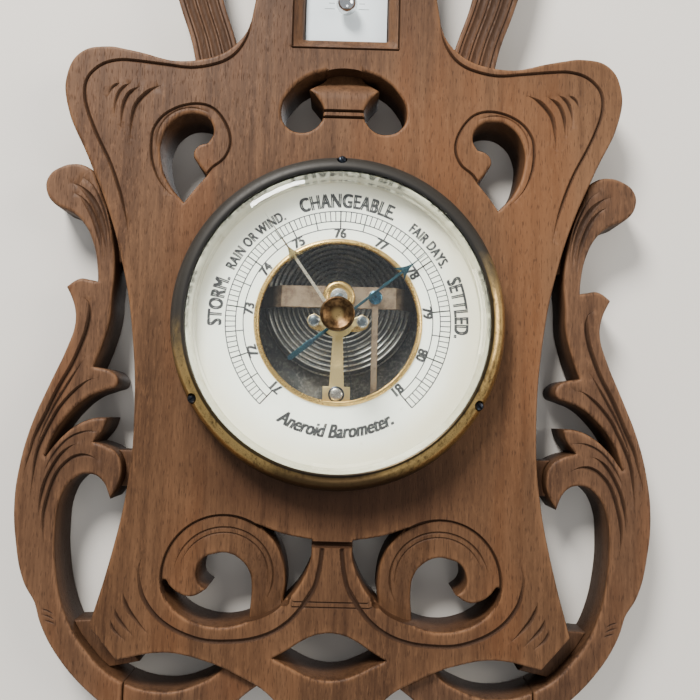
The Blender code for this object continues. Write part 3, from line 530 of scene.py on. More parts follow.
def walnut(name, light, dark, groove, shift, front=0.0175):
    """Waxed walnut: upright grain, short open pores, darker cuts, rubbed edges and painted shade."""
    wood = Finish(name, light, 0.5, Specular_IOR_Level=0.16)
    broad = wood.noise(14.0, (1.0, 1.0, 0.35), 3.0, 0.5, shift)
    grain = wood.noise(230.0, (1.0, 1.0, 0.045), 5.0, 0.62, shift)
    fine = wood.noise(1100.0, (1.0, 1.0, 0.10), 4.0, 0.65, shift)
    pores = wood.step(wood.noise(2000.0, (1.0, 1.0, 0.13), 1.0, 0.4, shift), 0.58, 0.70)
    fleck = wood.step(wood.noise(700.0, (1.0, 1.0, 0.26), 4.0, 0.75, shift), 0.52, 0.68)
    tone = broad * 0.5 + grain * 0.55 + fine * 0.32 - 0.185
    colour = wood.mix(wood.step(tone, 0.37, 0.63, False), dark, light)
    warm = wood.step(wood.noise(34.0, (1.0, 1.0, 0.2), 2.0, 0.5, shift), 0.48, 0.70)
    colour = wood.mix(warm * 0.45, colour, (light[0] * 1.20, light[1] * 0.92, light[2] * 0.68))
    colour = wood.mix(fleck * 0.34, colour, (light[0] * 1.35, light[1] * 1.35, light[2] * 1.35))
    colour = wood.mix(pores * 0.48, colour, groove)
    x, y, z = wood.axes()
    reach = (x * x + z * z) ** 0.5
    low_down = wood.step(z, -0.045, -0.075)
    # Grime and a painted shadow of the bezel: a dark ring round the dial, strongest below it.
    darkened = wood.step(reach, 0.080, 0.0675) * (0.35 + 0.65 * low_down)
    # Reddish patina and painted shade: a dark patch below the dial.
    dark_patch = wood.step(reach + (broad - 0.5) * 0.02, 0.100, 0.074) * low_down
    colour = wood.mix(dark_patch * 0.72, colour, (groove[0] * 1.25, groove[1] * 1.0, groove[2] * 0.75))
    # Painted shade: darker towards the top of the instrument and over its lower half.
    shade = wood.step(z, 0.085, 0.150) * 0.38 + wood.step(z, 0.0, -0.065) * 0.24
    colour = wood.mix(shade, colour, (groove[0] * 1.2, groove[1] * 1.0, groove[2] * 0.8))
    colour = wood.mix(darkened * 0.45, colour, (groove[0] * 1.2, groove[1] * 1.1, groove[2] * 1.0))
    rubbed = wood.attribute("worn") * wood.step(fine + grain, 0.80, 1.12)
    colour = wood.mix(rubbed * 0.55, colour, (light[0] * 1.75, light[1] * 1.7, light[2] * 1.6))
    # Drawn darker in the cuts, in step with their depth.
    deep = wood.attribute("carved")
    colour = wood.mix(deep * 0.86, colour, groove)
    # Painted shade on the walls: faces turned away from the front are drawn darker.
    turned_y = wood.add("SeparateXYZ", {0: wood.add("NewGeometry", output=1)}, output=1)
    painted_wall_shade = wood.step(turned_y, -0.80, -0.25)
    colour = wood.mix(painted_wall_shade * 0.72, colour, (groove[0] * 1.3, groove[1] * 1.2, groove[2]))
    # Painted shade in the recesses: faces sunk below the front grow darker down to 6.5 mm.
    colour = wood.mix(wood.step(y, -front + 0.0006, -front + 0.0065) * 0.32, colour, dark)
    # Painted shade near the wall: faces less than 14.5 mm out from it grow much darker towards it.
    below = wood.step(y, -0.0145, -0.006)
    colour = wood.mix(below * 0.80, colour, (groove[0] * 0.8, groove[1] * 0.8, groove[2] * 0.8))
    wood.set("Base Color", colour)
    wood.set("Roughness", 0.50 + pores * 0.15 + deep * 0.2 + broad * 0.12 - fleck * 0.06)
    wood.bump(grain * 0.6 + fine * 0.5 - pores * 0.7, 0.5, 0.00014)
    return wood


board_walnut = walnut("waxed_walnut", (0.150, 0.074, 0.035), (0.058, 0.027, 0.0125), (0.022, 0.010, 0.005),
                      (0.0, 0.0, 0.0), 0.021)

BORDER = [(-40.6, 152.0), (-40.9, 136.0), (-41.6, 126.5), (-44.4, 119.4), (-48.6, 114.3), (-54.8, 110.9),
          (-65.5, 108.7), (-77.1, 109.7), (-89.6, 111.0), (-96.9, 111.2), (-103.6, 109.3), (-108.9, 104.7),
          (-110.8, 99.7), (-110.4, 93.1), (-107.8, 85.2), (-103.9, 76.6), (-98.3, 65.8), (-93.8, 54.2),
          (-90.8, 44.0), (-89.1, 35.4)]
SHOULDER = [
    ([(-77.9, 100.7), (-82.6, 98.4), (-86.6, 94.7), (-89.2, 90.4), (-90.4, 83.0), (-90.6, 73.0)], 1.15, 1.2),
    ([(-86.9, 100.0), (-90.4, 97.9), (-92.6, 95.4), (-94.3, 90.2), (-94.8, 79.5)], 1.05, 1.1),
    ([(-91.2, 101.2), (-94.0, 99.5), (-96.1, 97.0), (-97.6, 92.0), (-97.6, 85.5)], 0.95, 0.9),
    ([(-95.9, 101.0), (-98.0, 99.9), (-99.6, 98.3), (-101.1, 94.2)], 0.8, 0.7),
]
CORNER_STROKES = [
    ([(-83.8, -110.6), (-82.6, -115.0), (-80.2, -119.2), (-75.5, -124.5), (-70.9, -128.7)], 1.0, 1.0),
    ([(-86.7, -117.0), (-85.8, -120.2), (-84.0, -122.8), (-77.7, -129.2)], 0.9, 0.8),
    ([(-88.1, -121.7), (-87.5, -124.2), (-86.2, -126.3), (-81.6, -130.1)], 0.8, 0.6),
]
VOLUTE_LINE = [(-69.2, 51.0), (-73.2, 53.9), (-77.6, 59.4), (-80.6, 67.2), (-81.4, 74.6), (-80.4, 82.0),
               (-74.8, 88.8), (-64.7, 92.6), (-56.1, 91.1), (-49.9, 83.8), (-47.9, 75.9), (-50.2, 69.3),
               (-55.1, 65.0), (-57.0, 62.6)]
SCROLL_X, SCROLL_Z, SCROLL_R = -43.9, -104.5, 24.7
SURROUND = [(-75.2, -91.6), (-76.6, -97.0), (-77.8, -102.2), (-77.1, -107.7), (-75.3, -113.2), (-70.9, -119.3),
            (-65.1, -123.9), (-58.1, -127.2), (-50.1, -129.3), (-41.2, -129.5), (-32.1, -128.5),
            (-23.4, -125.6), (-16.3, -120.7), (-10.9, -114.4), (-7.1, -108.4), (-4.9, -100.4), (-4.0, -92.6)]


def arc(x, z, radius, first, last, steps=24):
    """Points on a circle between two angles, counted anticlockwise from the right."""
    turns = [math.radians(first + (last - first) * i / steps) for i in range(steps + 1)]
    return [(x + radius * math.cos(a), z + radius * math.sin(a)) for a in turns]


left_cuts = [Cut(BORDER, 0.85, 1.0, (0.25, 0.12))]
left_cuts += [Cut(path, half, depth, (0.25, 0.6)) for path, half, depth in SHOULDER + CORNER_STROKES]
left_cuts += [
    Cut(VOLUTE_LINE, 0.75, 0.9, (0.25, 0.0)),
    Cut(arc(-64.9, 76.6, 14.3, 200, 60), 0.45, 0.35, (0.2, 0.2), dark=0.5),
    Cut(arc(SCROLL_X, SCROLL_Z, SCROLL_R, 205, 55), 0.7, 1.0, (0.12, 0.0)),
    Cut(arc(SCROLL_X, SCROLL_Z, 19.9, 176, -28), 0.55, 0.55, (0.2, 0.1), dark=0.75),
    Cut(arc(SCROLL_X, SCROLL_Z, 17.8, 168, -20), 0.45, 0.4, (0.2, 0.2), dark=0.6),
    Cut(SURROUND, 1.0, 0.9, (0.22, 0.0), hollow=True),
    Cut([(-14.6, -113.3), (0.0, -113.3)], 0.4, 0.5),
    Cut([(-15.4, -115.3), (0.0, -115.3)], 0.4, 0.5),
]
board_cuts = mirrored(left_cuts)
board_cuts += [
    Cut([(-9.0, 91.4), (9.0, 91.4)], 0.7, 1.4),
    Cut([(-9.4, 88.6), (9.4, 88.6)], 0.7, 1.4),
    Cut([(-8.0, -90.4), (8.0, -90.4)], 1.3, 2.4, hollow=True),
    Cut([(-3.6, -93.5), (-5.2, -103.0), (-11.0, -113.2)], 0.4, 0.5, dark=0.8),
    Cut([(3.6, -93.5), (5.2, -103.0), (11.0, -113.2)], 0.4, 0.5, dark=0.8),
]
FRAME_X = 22.9
FRAME_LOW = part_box("thermometer_plate")[0].z / MM - 6.0
board_cuts += [
    Cut([(-FRAME_X, 326.0), (-FRAME_X, FRAME_LOW + 1.0)], 0.5, 0.7),
    Cut([(FRAME_X, 326.0), (FRAME_X, FRAME_LOW + 1.0)], 0.5, 0.7),
    Cut([(-FRAME_X, FRAME_LOW), (FRAME_X, FRAME_LOW)], 0.5, 0.7),
]
board_height = front_of("front_board")
LIP = [(-19.3, -114.7), (-22.5, -117.4), (-26.0, -119.3), (-30.0, -120.8), (-33.6, -121.6)]
PALMETTE_LEVEL = 15.0
PALMETTE = [(-8.0, 109.0), (-4.0, 109.9), (0.0, 110.2), (4.0, 109.9), (8.0, 109.0)]


def board_form(spots):
    """The board's front before the lines are cut: the palmette sinks at its top, the scrolls dive."""
    x, z = np.abs(spots[:, 0]), spots[:, 1]
    lift = np.full(len(spots), board_height)
    ceiling = 110.2 - 1.2 * (x / 8.0) ** 2
    palmette = (x < 15.2) & (z > 96.0) & (z < ceiling)
    lift -= np.where(palmette, 7.0 * spread(z, 98.5, 108.5), 0.0)
    dx, dz = -x - SCROLL_X, z - SCROLL_Z
    angle = np.degrees(np.arctan2(dz, dx))
    line = eased(LIP, 0.8, cyclic=False)[::-1]
    lip = np.interp(-x, [p[0] for p in line], [p[1] for p in line])
    reach = np.interp(angle, [-75.0, 5.0, 38.0, 58.0, 62.0], [29.0, 28.5, 25.75, 25.35, SCROLL_R + 0.35])
    inner = np.clip((reach - np.hypot(dx, dz)) / 0.7, 0.0, 1.0) * np.clip((z - lip) / 0.1 + 0.5, 0.0, 1.0)
    band = (angle < 115) & (angle > -75)
    lift -= np.where(band, 6.5 * spread(-angle, -112.0, 38.0) * inner, 0.0)
    framed = (x < FRAME_X - 0.6) & (z > FRAME_LOW + 0.6) & (z < 330.0)
    inward = np.minimum(FRAME_X - x, z - FRAME_LOW)
    lift -= np.where(framed, 3.4 * np.clip((inward - 0.6) / 3.6, 0.0, 1.0), 0.0)
    return lift


board = carved("board", "front_board", board_height, board_cuts, board_walnut, 1.3, board_form,
               [LIP, [(-x, z) for x, z in LIP], PALMETTE], levels=[board_height, PALMETTE_LEVEL])
fit(board, "case", "walnut", "front_board")


# ---------------------------------------------------------------- scrolled side frames and bottom arcs
# Thinner walnut, fret-sawn into leaves, buds and a long C scroll on each side and glued to the
# board's edges by low webs. The leaves are hollowed with a gouge and lined with a V tool.

frame_walnut = walnut("shaded_walnut", (0.142, 0.072, 0.037), (0.058, 0.028, 0.0145), (0.022, 0.011, 0.006),
                      (0.3, 0.1, 0.2))
frame_height = 17.5
leaf_cuts = [
    Cut([(-116.5, 58.2), (-111.7, 56.2), (-106.2, 50.5), (-102.2, 42.5), (-99.6, 33.0), (-98.4, 22.0)],
        1.5, 1.3, (0.3, 0.5), hollow=True, dark=0.7),
    Cut([(-115.0, 53.8), (-111.3, 51.8), (-107.0, 46.3), (-103.6, 38.6), (-101.4, 30.0), (-100.6, 22.0)],
        1.2, 1.1, (0.3, 0.5), hollow=True, dark=0.7),
    Cut([(-112.6, 61.5), (-106.5, 57.0), (-101.2, 47.0), (-98.2, 36.0), (-97.0, 24.0)], 0.7, 0.6, (0.4, 0.5)),
    Cut([(-107.2, 8.2), (-105.4, 6.7), (-104.7, 2.5), (-105.6, -5.2), (-108.1, -13.2), (-111.0, -20.4),
         (-114.8, -27.7), (-117.7, -34.0), (-120.2, -40.3), (-122.8, -46.1), (-124.9, -51.5), (-126.0, -56.5),
         (-127.8, -64.3), (-128.4, -70.4)], 1.1, 1.3, (0.12, 0.35)),
    Cut([(-105.0, -16.0), (-109.5, -23.5), (-114.0, -31.5), (-118.0, -39.0), (-121.6, -48.0), (-124.2, -58.0)],
        0.7, 0.7, (0.3, 0.4)),
    Cut([(-99.5, -25.2), (-103.2, -26.1), (-107.2, -29.1), (-110.7, -32.5), (-115.0, -38.1), (-117.6, -43.1),
         (-120.1, -48.5), (-123.0, -56.4), (-124.2, -66.7), (-124.7, -76.4)], 0.9, 1.1, (0.2, 0.35)),
    Cut([(-105.8, -52.3), (-109.1, -53.6), (-113.0, -57.0), (-116.4, -62.4), (-118.9, -68.2), (-120.4, -75.0),
         (-121.0, -84.0)], 0.9, 1.1, (0.25, 0.35)),
    Cut([(-97.2, -59.4), (-101.4, -57.5), (-105.6, -57.4), (-109.6, -59.3), (-113.8, -63.9), (-116.3, -69.7),
         (-118.0, -76.3), (-118.9, -82.4), (-118.7, -88.0), (-117.6, -95.6)], 0.95, 1.1, (0.2, 0.35)),
    Cut([(-97.0, -47.5), (-104.0, -47.6), (-111.0, -51.0), (-117.0, -58.5), (-120.8, -67.5)], 0.6, 0.6,
        (0.3, 0.4)),
    Cut([(-117.4, -119.4), (-114.6, -120.2), (-112.2, -121.6)], 0.4, 0.35, (0.3, 0.3)),
    Cut([(-116.9, -121.6), (-114.1, -122.4), (-111.8, -123.6)], 0.4, 0.35, (0.3, 0.3)),
    Cut([(-115.9, -123.9), (-113.4, -124.5), (-111.2, -125.5)], 0.4, 0.35, (0.3, 0.3)),
]


def twins(cuts):
    return mirrored(cuts)[len(cuts):]


WEB_HEIGHT = 12.0
for side, cuts in (("left", leaf_cuts), ("right", twins(leaf_cuts))):
    node = f"back_frame_{side}"
    piece = carved(f"scroll_frame_{side}", node, frame_height, cuts, frame_walnut, 1.5, field=3.0)
    webs = carved(f"webs_{side}", node, WEB_HEIGHT, [], frame_walnut, 0.6, levels=[WEB_HEIGHT])
    fit(piece, "case", "walnut_dark", node)
    fit(webs, "case", "walnut_dark")
    arc_piece = carved(f"lower_arc_{side}", f"bottom_arc_{side}", frame_height, [], frame_walnut, 1.3)
    fit(arc_piece, "case", "walnut_dark", f"bottom_arc_{side}")


# ---------------------------------------------------------------- horns and crest
# Two bowed walnut horns run from the shoulders to the top of the neck, each with three flutes
# along its length. The crest closes the top, with the hanging plate let into its back.

OUTER_HORN = [(64.0, 106.0), (67.6, 123.0), (73.8, 141.0), (80.0, 163.0), (84.2, 195.0), (84.0, 228.0),
              (78.5, 262.0), (67.0, 295.0), (52.0, 322.0), (40.0, 332.0)]
INNER_HORN = [(44.0, 110.0), (48.8, 126.0), (54.2, 142.0), (60.6, 168.0), (65.2, 198.0), (66.0, 228.0),
              (63.4, 258.0), (56.0, 286.0), (44.0, 309.0), (36.0, 317.0)]


def flute(share):
    return [(-(a * (1 - share) + b * share), c * (1 - share) + d * share)
            for (a, c), (b, d) in zip(OUTER_HORN, INNER_HORN)]


horn_height = front_of("left_horn")
horn_cuts = [Cut(flute(share), 1.5, 0.9, (0.0, 0.1), hollow=True, dark=0.55) for share in (0.25, 0.5, 0.75)]
horn_cuts += [Cut(flute(share), 0.4, 0.45, (0.0, 0.1)) for share in (0.12, 0.375, 0.625, 0.88)]
for side, cuts in (("left", horn_cuts), ("right", twins(horn_cuts))):
    piece = carved(f"horn_{side}", f"{side}_horn", horn_height, cuts, frame_walnut, 1.0, field=3.4)
    fit(piece, "case", "walnut_dark", f"{side}_horn")

crest_cuts = mirrored([
    Cut([(-43.0, 350.6), (-45.6, 356.5), (-38.0, 361.6), (-31.0, 366.2), (-23.5, 376.0), (-12.4, 386.4),
         (0.0, 390.6)], 0.8, 0.9, (0.15, 0.0)),
    Cut([(-4.0, 356.0), (-8.0, 366.0), (-9.5, 378.0)], 1.1, 1.1, (0.3, 0.6)),
    Cut([(-11.0, 355.0), (-17.0, 363.0), (-19.5, 372.0)], 1.1, 1.1, (0.3, 0.6)),
])
crest_piece = carved("crest_piece", "crest", front_of("crest"), crest_cuts, board_walnut, 2.4)


def evaluated(piece):
    """The plain mesh that an object's modifiers or curve make."""
    bpy.context.view_layer.update()
    return bpy.data.meshes.new_from_object(piece.evaluated_get(bpy.context.evaluated_depsgraph_get()))


def carved_out(piece, tool):
    """Cut one mesh out of another, then drop the tool."""
    piece.modifiers.new("cut", "BOOLEAN").object = tool
    mesh = evaluated(piece)
    piece.modifiers.clear()
    piece.data = mesh
    bpy.data.objects.remove(tool)


def drilled(piece, *boxes):
    """Cut plain pockets, each given as (x, height, z) limits, out of a finished mesh."""
    for x, heights, z in boxes:
        bpy.ops.mesh.primitive_cube_add(size=1.0)
        tool = bpy.context.object
        size = [(x[1] - x[0]) * MM, (heights[1] - heights[0]) * MM, (z[1] - z[0]) * MM, 1.0]
        middle = ((x[0] + x[1]) / 2 * MM, -(heights[0] + heights[1]) / 2 * MM, (z[0] + z[1]) / 2 * MM)
        tool.data.transform(Matrix.Translation(middle) @ Matrix.Diagonal(size))
        carved_out(piece, tool)
    return piece


POCKET_GAP = 0.3
plate_low, plate_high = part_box("hanger_plate")
pocket_x = plate_high.x / MM + POCKET_GAP
pocket_z = (plate_low.z / MM - POCKET_GAP, plate_high.z / MM + POCKET_GAP)
plate_z = (plate_low.z + plate_high.z) / 2 / MM
nail_room = ((-5.5, 5.5), (-1.0, 10.0), (plate_z - 9.5, plate_z + 7.5))
drilled(crest_piece, ((-pocket_x, pocket_x), (-1.0, 1.8), pocket_z), nail_room)
fit(crest_piece, "case", "walnut", "crest")


def metal(name, colour, roughness, tarnish=(0.05, 0.035, 0.02), amount=0.25, grain=(1.0, 1.0, 1.0),
          scale=420.0):
    """A worn metal: fine brush marks, spots of tarnish and uneven polish."""
    plain = Finish(name, colour, roughness, 1.0)
    cloud = plain.noise(scale * 0.25, detail=5.0, rough=0.65)
    marks = plain.noise(scale * 3.0, grain, 3.0, 0.6)
    dark_patch = plain.step(cloud, 0.50, 0.74)
    plain.set("Base Color", plain.mix(dark_patch * amount, colour, tarnish))
    plain.set("Roughness", roughness + dark_patch * 0.18 + (marks - 0.5) * 0.16)
    plain.bump(marks + cloud * 0.5, 0.12, 0.00004)
    return plain


brass = metal("lacquered_brass", (0.68, 0.44, 0.14), 0.27)
steel = metal("bright_steel", (0.56, 0.56, 0.55), 0.24, (0.10, 0.09, 0.08), 0.35)
blued = metal("blued_steel", (0.045, 0.13, 0.19), 0.26, (0.03, 0.05, 0.09), 0.4)


def refinish(finish, *nodes):
    """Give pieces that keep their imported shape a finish."""
    for node in nodes:
        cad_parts[node].data.materials.clear()
        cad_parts[node].data.materials.append(finish.material)


refinish(brass, "hanger_plate", "hanger_screw_upper", "hanger_screw_lower")


# ---------------------------------------------------------------- thermometer
# A white opal glass plate with a printed degree scale lies in the window of the neck on a thin
# wooden backing. The glass tube, with its bulb of mercury, is held off it by two brass straps.

def turned(name, profile, finish, x=0.0, z=0.0, steps=96, upright=False, height=0.0, ring=False, angle=35.0):
    """A turned piece from (radius, height) points, about an axis out of the wall or, upright, along z."""
    count = len(profile)
    spots, faces = [], []
    for i in range(steps):
        turn = 2 * math.pi * i / steps
        for r, h in profile:
            across, along = r * math.cos(turn), r * math.sin(turn)
            spots.append((x + across, -height - along, z + h) if upright else (x + across, -h, z + along))
    for i in range(steps):
        for j in range(count if ring else count - 1):
            a, b = i * count + j, i * count + (j + 1) % count
            c, d = ((i + 1) % steps) * count + (j + 1) % count, ((i + 1) % steps) * count + j
            faces.append((a, b, c, d))
    mesh = bpy.data.meshes.new("turning")
    mesh.from_pydata([(px * MM, py * MM, pz * MM) for px, py, pz in spots], [], faces)
    edit = bmesh.new()
    edit.from_mesh(mesh)
    bpy.data.meshes.remove(mesh)
    bmesh.ops.remove_doubles(edit, verts=edit.verts, dist=0.0008 * MM)
    bmesh.ops.dissolve_degenerate(edit, edges=edit.edges, dist=0.0005 * MM)
    return new_piece(name, finished(name, edit), finish, angle)


UPRIGHT = Matrix.Rotation(math.radians(90), 4, "X")


def drawn(name, data):
    """The mesh that a curve or a line of type makes."""
    holder = bpy.data.objects.new(name + "_path", data)
    scene.collection.objects.link(holder)
    mesh = evaluated(holder)
    bpy.data.objects.remove(holder)
    return mesh


def slab(name, loops, low, high, finish, rim=0.12, steps=8):
    """A flat piece with softened edges, from (x, z) outlines; a third value marks a sharp corner."""
    data = bpy.data.curves.new(name, "CURVE")
    data.dimensions = "2D"
    data.fill_mode = "BOTH"
    data.resolution_u = steps
    data.extrude = ((high - low) / 2 - rim) * MM
    data.bevel_depth = rim * MM
    data.bevel_resolution = 2
    data.offset = -rim * MM
    for loop in loops:
        spline = data.splines.new("BEZIER")
        spline.bezier_points.add(len(loop) - 1)
        for bezier, point in zip(spline.bezier_points, loop):
            bezier.co = (point[0] * MM, point[1] * MM, 0.0)
            bezier.handle_left_type = bezier.handle_right_type = "VECTOR" if len(point) == 3 else "AUTO"
        spline.use_cyclic_u = True
    mesh = drawn(name, data)
    mesh.transform(Matrix.Translation((0.0, -(low + high) / 2 * MM, 0.0)) @ UPRIGHT)
    edit = bmesh.new()
    edit.from_mesh(mesh)
    bpy.data.meshes.remove(mesh)
    bmesh.ops.remove_doubles(edit, verts=edit.verts, dist=0.001 * MM)
    return new_piece(name, finished(name, edit), finish, 35)


def sharp(*points):
    return [(x, z, "corner") for x, z in points]


def both_sides(half):
    """A closed symmetric outline from its right half, which runs from top to bottom."""
    return half + [(-p[0], *p[1:]) for p in reversed(half) if abs(p[0]) > 1e-6]


def hole(radius, x=0.0, z=0.0, count=24):
    return [(x + radius * math.cos(2 * math.pi * i / count), z + radius * math.sin(2 * math.pi * i / count))
            for i in range(count)]


opal = Finish("opal_glass", (0.85, 0.92, 0.95), 0.12, Coat_Weight=0.6, Coat_Roughness=0.05)
milk = opal.step(opal.noise(60.0), 0.4, 0.75)
opal.set("Base Color", opal.mix(milk * 0.5, (0.86, 0.93, 0.95), (0.80, 0.87, 0.90)))
opal_low, opal_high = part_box("thermometer_plate")
opal_front = -opal_low.y / MM
opal_half, opal_foot, opal_top = opal_high.x / MM, opal_low.z / MM, opal_high.z / MM
opal_plate = slab("opal_plate", [sharp((-opal_half, opal_foot), (opal_half, opal_foot), (opal_half, opal_top),
                                       (-opal_half, opal_top))], -opal_high.y / MM, opal_front, opal, 0.35)
fit(opal_plate, "case", "opal_glass", "thermometer_plate")
refinish(frame_walnut, "thermometer_backing")

INK_THICK = 0.00003
ink = Finish("black_ink", (0.018, 0.018, 0.02), 0.6)
thin = ink.step(ink.noise(900.0), 0.45, 0.7)
ink.set("Base Color", ink.mix(thin * 0.5, (0.009, 0.009, 0.010), (0.035, 0.034, 0.030)))


class Grower:
    """A Geometry Nodes tree under construction, with named number inputs and one geometry output."""

    def __init__(self, name, **sizes):
        self.tree = bpy.data.node_groups.new(name, "GeometryNodeTree")
        self.tree.interface.new_socket("Geometry", in_out="OUTPUT", socket_type="NodeSocketGeometry")
        for size, value in sizes.items():
            kind = "NodeSocketInt" if isinstance(value, int) else "NodeSocketFloat"
            self.tree.interface.new_socket(size, in_out="INPUT", socket_type=kind).default_value = value
        given = self.tree.nodes.new("NodeGroupInput")
        self.given = {size: Wire(self.tree, given.outputs[size]) for size in sizes}

    def add(self, kind, sockets=(), **settings):
        return new_node(self.tree, "GeometryNode" + kind, sockets, 0, settings)

    def vector(self, x=0.0, y=0.0, z=0.0):
        return new_node(self.tree, "ShaderNodeCombineXYZ", enumerate((x, y, z)), 0, {})

    def repeat(self, points, unit, turn, finish):
        """Set the unit on each point, make the copies real and give them their finish."""
        copies = self.add("InstanceOnPoints", {"Points": points, "Instance": unit, "Rotation": turn})
        real = self.add("RealizeInstances", {"Geometry": copies})
        painted = self.add("SetMaterial", {"Geometry": real, "Material": finish.material})
        self.tree.links.new(painted.socket, self.tree.nodes.new("NodeGroupOutput").inputs[0])

    def grow(self, name, finish, **sizes):
        """Run the tree with these sizes, and return the plain mesh that it makes."""
        piece = new_piece(name, bpy.data.meshes.new(name), finish)
        modifier = piece.modifiers.new("make", "NODES")
        modifier.node_group = self.tree
        for item in self.tree.interface.items_tree:
            if item.item_type == "SOCKET" and item.in_out == "INPUT" and item.name in sizes:
                modifier[item.identifier] = sizes[item.name]
        mesh = evaluated(piece)
        bpy.data.objects.remove(piece)
        return new_piece(name, mesh, finish)


def strokes(name, finish, straight):
    """Printed strokes as thin bars: on a straight scale up z, or fanned about the dial's axis."""
    grower = Grower(name, Count=10, First=0.0, Step=0.1, Inner=0.02, Outer=0.03, Width=0.0002, Height=0.025)
    given = grower.given
    points = grower.add("Points", {"Count": given["Count"]})
    place = grower.add("InputIndex") * given["Step"] + given["First"]
    long = given["Outer"] - given["Inner"]
    middle = (given["Outer"] + given["Inner"]) * 0.5
    wide, high = (long, given["Width"]) if straight else (given["Width"], long)
    size = grower.vector(wide, INK_THICK, high)
    bar = grower.add("MeshCube", {"Size": size})
    if straight:
        spot, turn = grower.vector(middle, given["Height"] * -1.0, place), grower.vector()
    else:
        across, up = place.maths("SINE", place) * middle, place.maths("COSINE", place) * middle
        spot, turn = grower.vector(across, given["Height"] * -1.0, up), grower.vector(y=place)
    moved = grower.add("SetPosition", {"Geometry": points, "Position": spot})
    grower.repeat(moved, bar, turn, finish)
    return grower


def lettering(name, text, size, height, finish, weight=0.0, slant=0.0, spacing=1.0, width=1.0):
    """A line of plain printed letters as a flat mesh, centred on x = 0 with its foot at z = 0."""
    data = bpy.data.curves.new(name, "FONT")
    data.body = text
    data.size = size * MM
    data.shear = slant
    data.space_character = spacing
    data.align_x = "CENTER"
    data.resolution_u = 4
    mesh = drawn(name, data)
    mesh.transform(Matrix.Translation((0, -height * MM, 0)) @ UPRIGHT @ Matrix.Diagonal((width, 1.0, 1.0, 1.0)))
    if weight:
        bold = bmesh.new()
        for step, (across, up) in enumerate(((-1, -0.5), (1, -0.5), (-1, 0.5), (1, 0.5))):
            copy = mesh.copy()
            copy.transform(Matrix.Translation((across * weight * MM, -0.004 * step * MM, up * weight * MM)))
            bold.from_mesh(copy)
            bpy.data.meshes.remove(copy)
        bold.to_mesh(mesh)
        bold.free()
    return new_piece(name, mesh, finish)


def bent(piece, radius, angle, outward=True):
    """Wrap flat lettering round the dial's axis, centred at a clockwise angle from the top."""
    for spot in piece.data.vertices:
        x, z = spot.co.x, spot.co.z
        if outward:
            turn, reach = math.radians(angle) + x / (radius * MM), radius * MM + z
        else:
            turn, reach = math.radians(angle) - x / (radius * MM), radius * MM - z
        spot.co.x, spot.co.z = reach * math.sin(turn), reach * math.cos(turn)
    return piece


def joined(name, pieces):
    """Several printed marks as one piece."""
    edit = bmesh.new()
    for piece in pieces:
        edit.from_mesh(piece.data)
        bpy.data.objects.remove(piece)
    mesh = bpy.data.meshes.new(name)
    edit.to_mesh(mesh)
    edit.free()
    return new_piece(name, mesh, ink)


DEGREE = 2.6
ZERO_Z = 180.0
degree_strokes = strokes("degree_strokes", ink, True)
print_height = (opal_front + 0.03) * MM
marks = []
for sign in (-1, 1):
    for count, step, reach in ((56, DEGREE, 2.6), (12, DEGREE * 5, 4.4)):
        inner, outer = (5.4, 5.4 + reach) if sign > 0 else (-5.4 - reach, -5.4)
        marks.append(degree_strokes.grow(
            f"degrees_{sign}_{count}", ink, Count=count, First=(ZERO_Z - 15 * DEGREE) * MM, Step=step * MM,
            Inner=inner * MM, Outer=outer * MM, Width=0.18 * MM, Height=print_height))
    for tens in range(-1, 5):
        number = lettering(f"degree_{tens}_{sign}", str(abs(tens) * 10), 4.4, opal_front + 0.04, ink)
        level = ZERO_Z + tens * 10 * DEGREE - 1.5
        number.data.transform(Matrix.Translation((sign * 13.6 * MM, 0, level * MM)))
        marks.append(number)
fit(joined("degree_scale", marks), "case", "opal_glass")

glass = Finish("clear_glass", (0.97, 0.99, 0.98), 0.0, Transmission_Weight=1.0, IOR=1.47)
glass_out = glass.tree.nodes["Material Output"]
shadow = glass.add("LightPath", output=1)
through = glass.add("BsdfTransparent", {0: (0.95, 0.97, 0.96, 1.0)})
lit = glass.add("MixShader", {0: shadow, 1: glass.surface(), 2: through})
glass.tree.links.new(lit.socket, glass_out.inputs["Surface"])
glass.set("Roughness", glass.step(glass.noise(30.0), 0.6, 0.8) * 0.02)
mercury = Finish("mercury", (0.72, 0.72, 0.73), 0.06, 1.0)
mercury.set("Roughness", 0.05 + mercury.step(mercury.noise(300.0), 0.5, 0.8) * 0.08)

tube_low, tube_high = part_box("thermometer_glass")
TUBE_HEIGHT = -(tube_low.y + tube_high.y) / 2 / MM
BULB_R = (tube_high.x - tube_low.x) / 2 / MM
BULB_Z = tube_low.z / MM + BULB_R
TUBE_TOP = tube_high.z / MM
TUBE_R = 2.6


def bulb_side(bulb, tube, top, neck=3.4, steps=14):
    """Down the side of a tube and round its bulb, to the bulb's lowest point."""
    first = math.asin(min(0.97, 1 - tube / bulb * 0.35)) * 0.82
    side = [(tube, top), (tube, BULB_Z + bulb + neck)]
    for i in range(steps + 1):
        turn = first - (first + math.pi / 2) * i / steps
        side.append((max(bulb * math.cos(turn), 0.0), BULB_Z + bulb * math.sin(turn)))
    side[-1] = (0.0, side[-1][1])
    return side


outside = bulb_side(BULB_R, TUBE_R, TUBE_TOP - 1.6)
cap = [(0.0, TUBE_TOP), (TUBE_R * 0.55, TUBE_TOP - 0.35), (TUBE_R * 0.9, TUBE_TOP - 1.0)]
tube = turned("glass_tube", cap + outside, glass, steps=32, upright=True, height=TUBE_HEIGHT)
fit(tube, "case", "clear_glass", "thermometer_glass")
column_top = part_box("thermometer_mercury")[1].z / MM
column = bulb_side(BULB_R - 0.55, 0.55, column_top, 4.2)
column_piece = turned("mercury_column", [(0.0, column_top + 0.3)] + column, mercury, steps=28, upright=True,
                      height=TUBE_HEIGHT)
fit(column_piece, "case", "mercury", "thermometer_mercury")


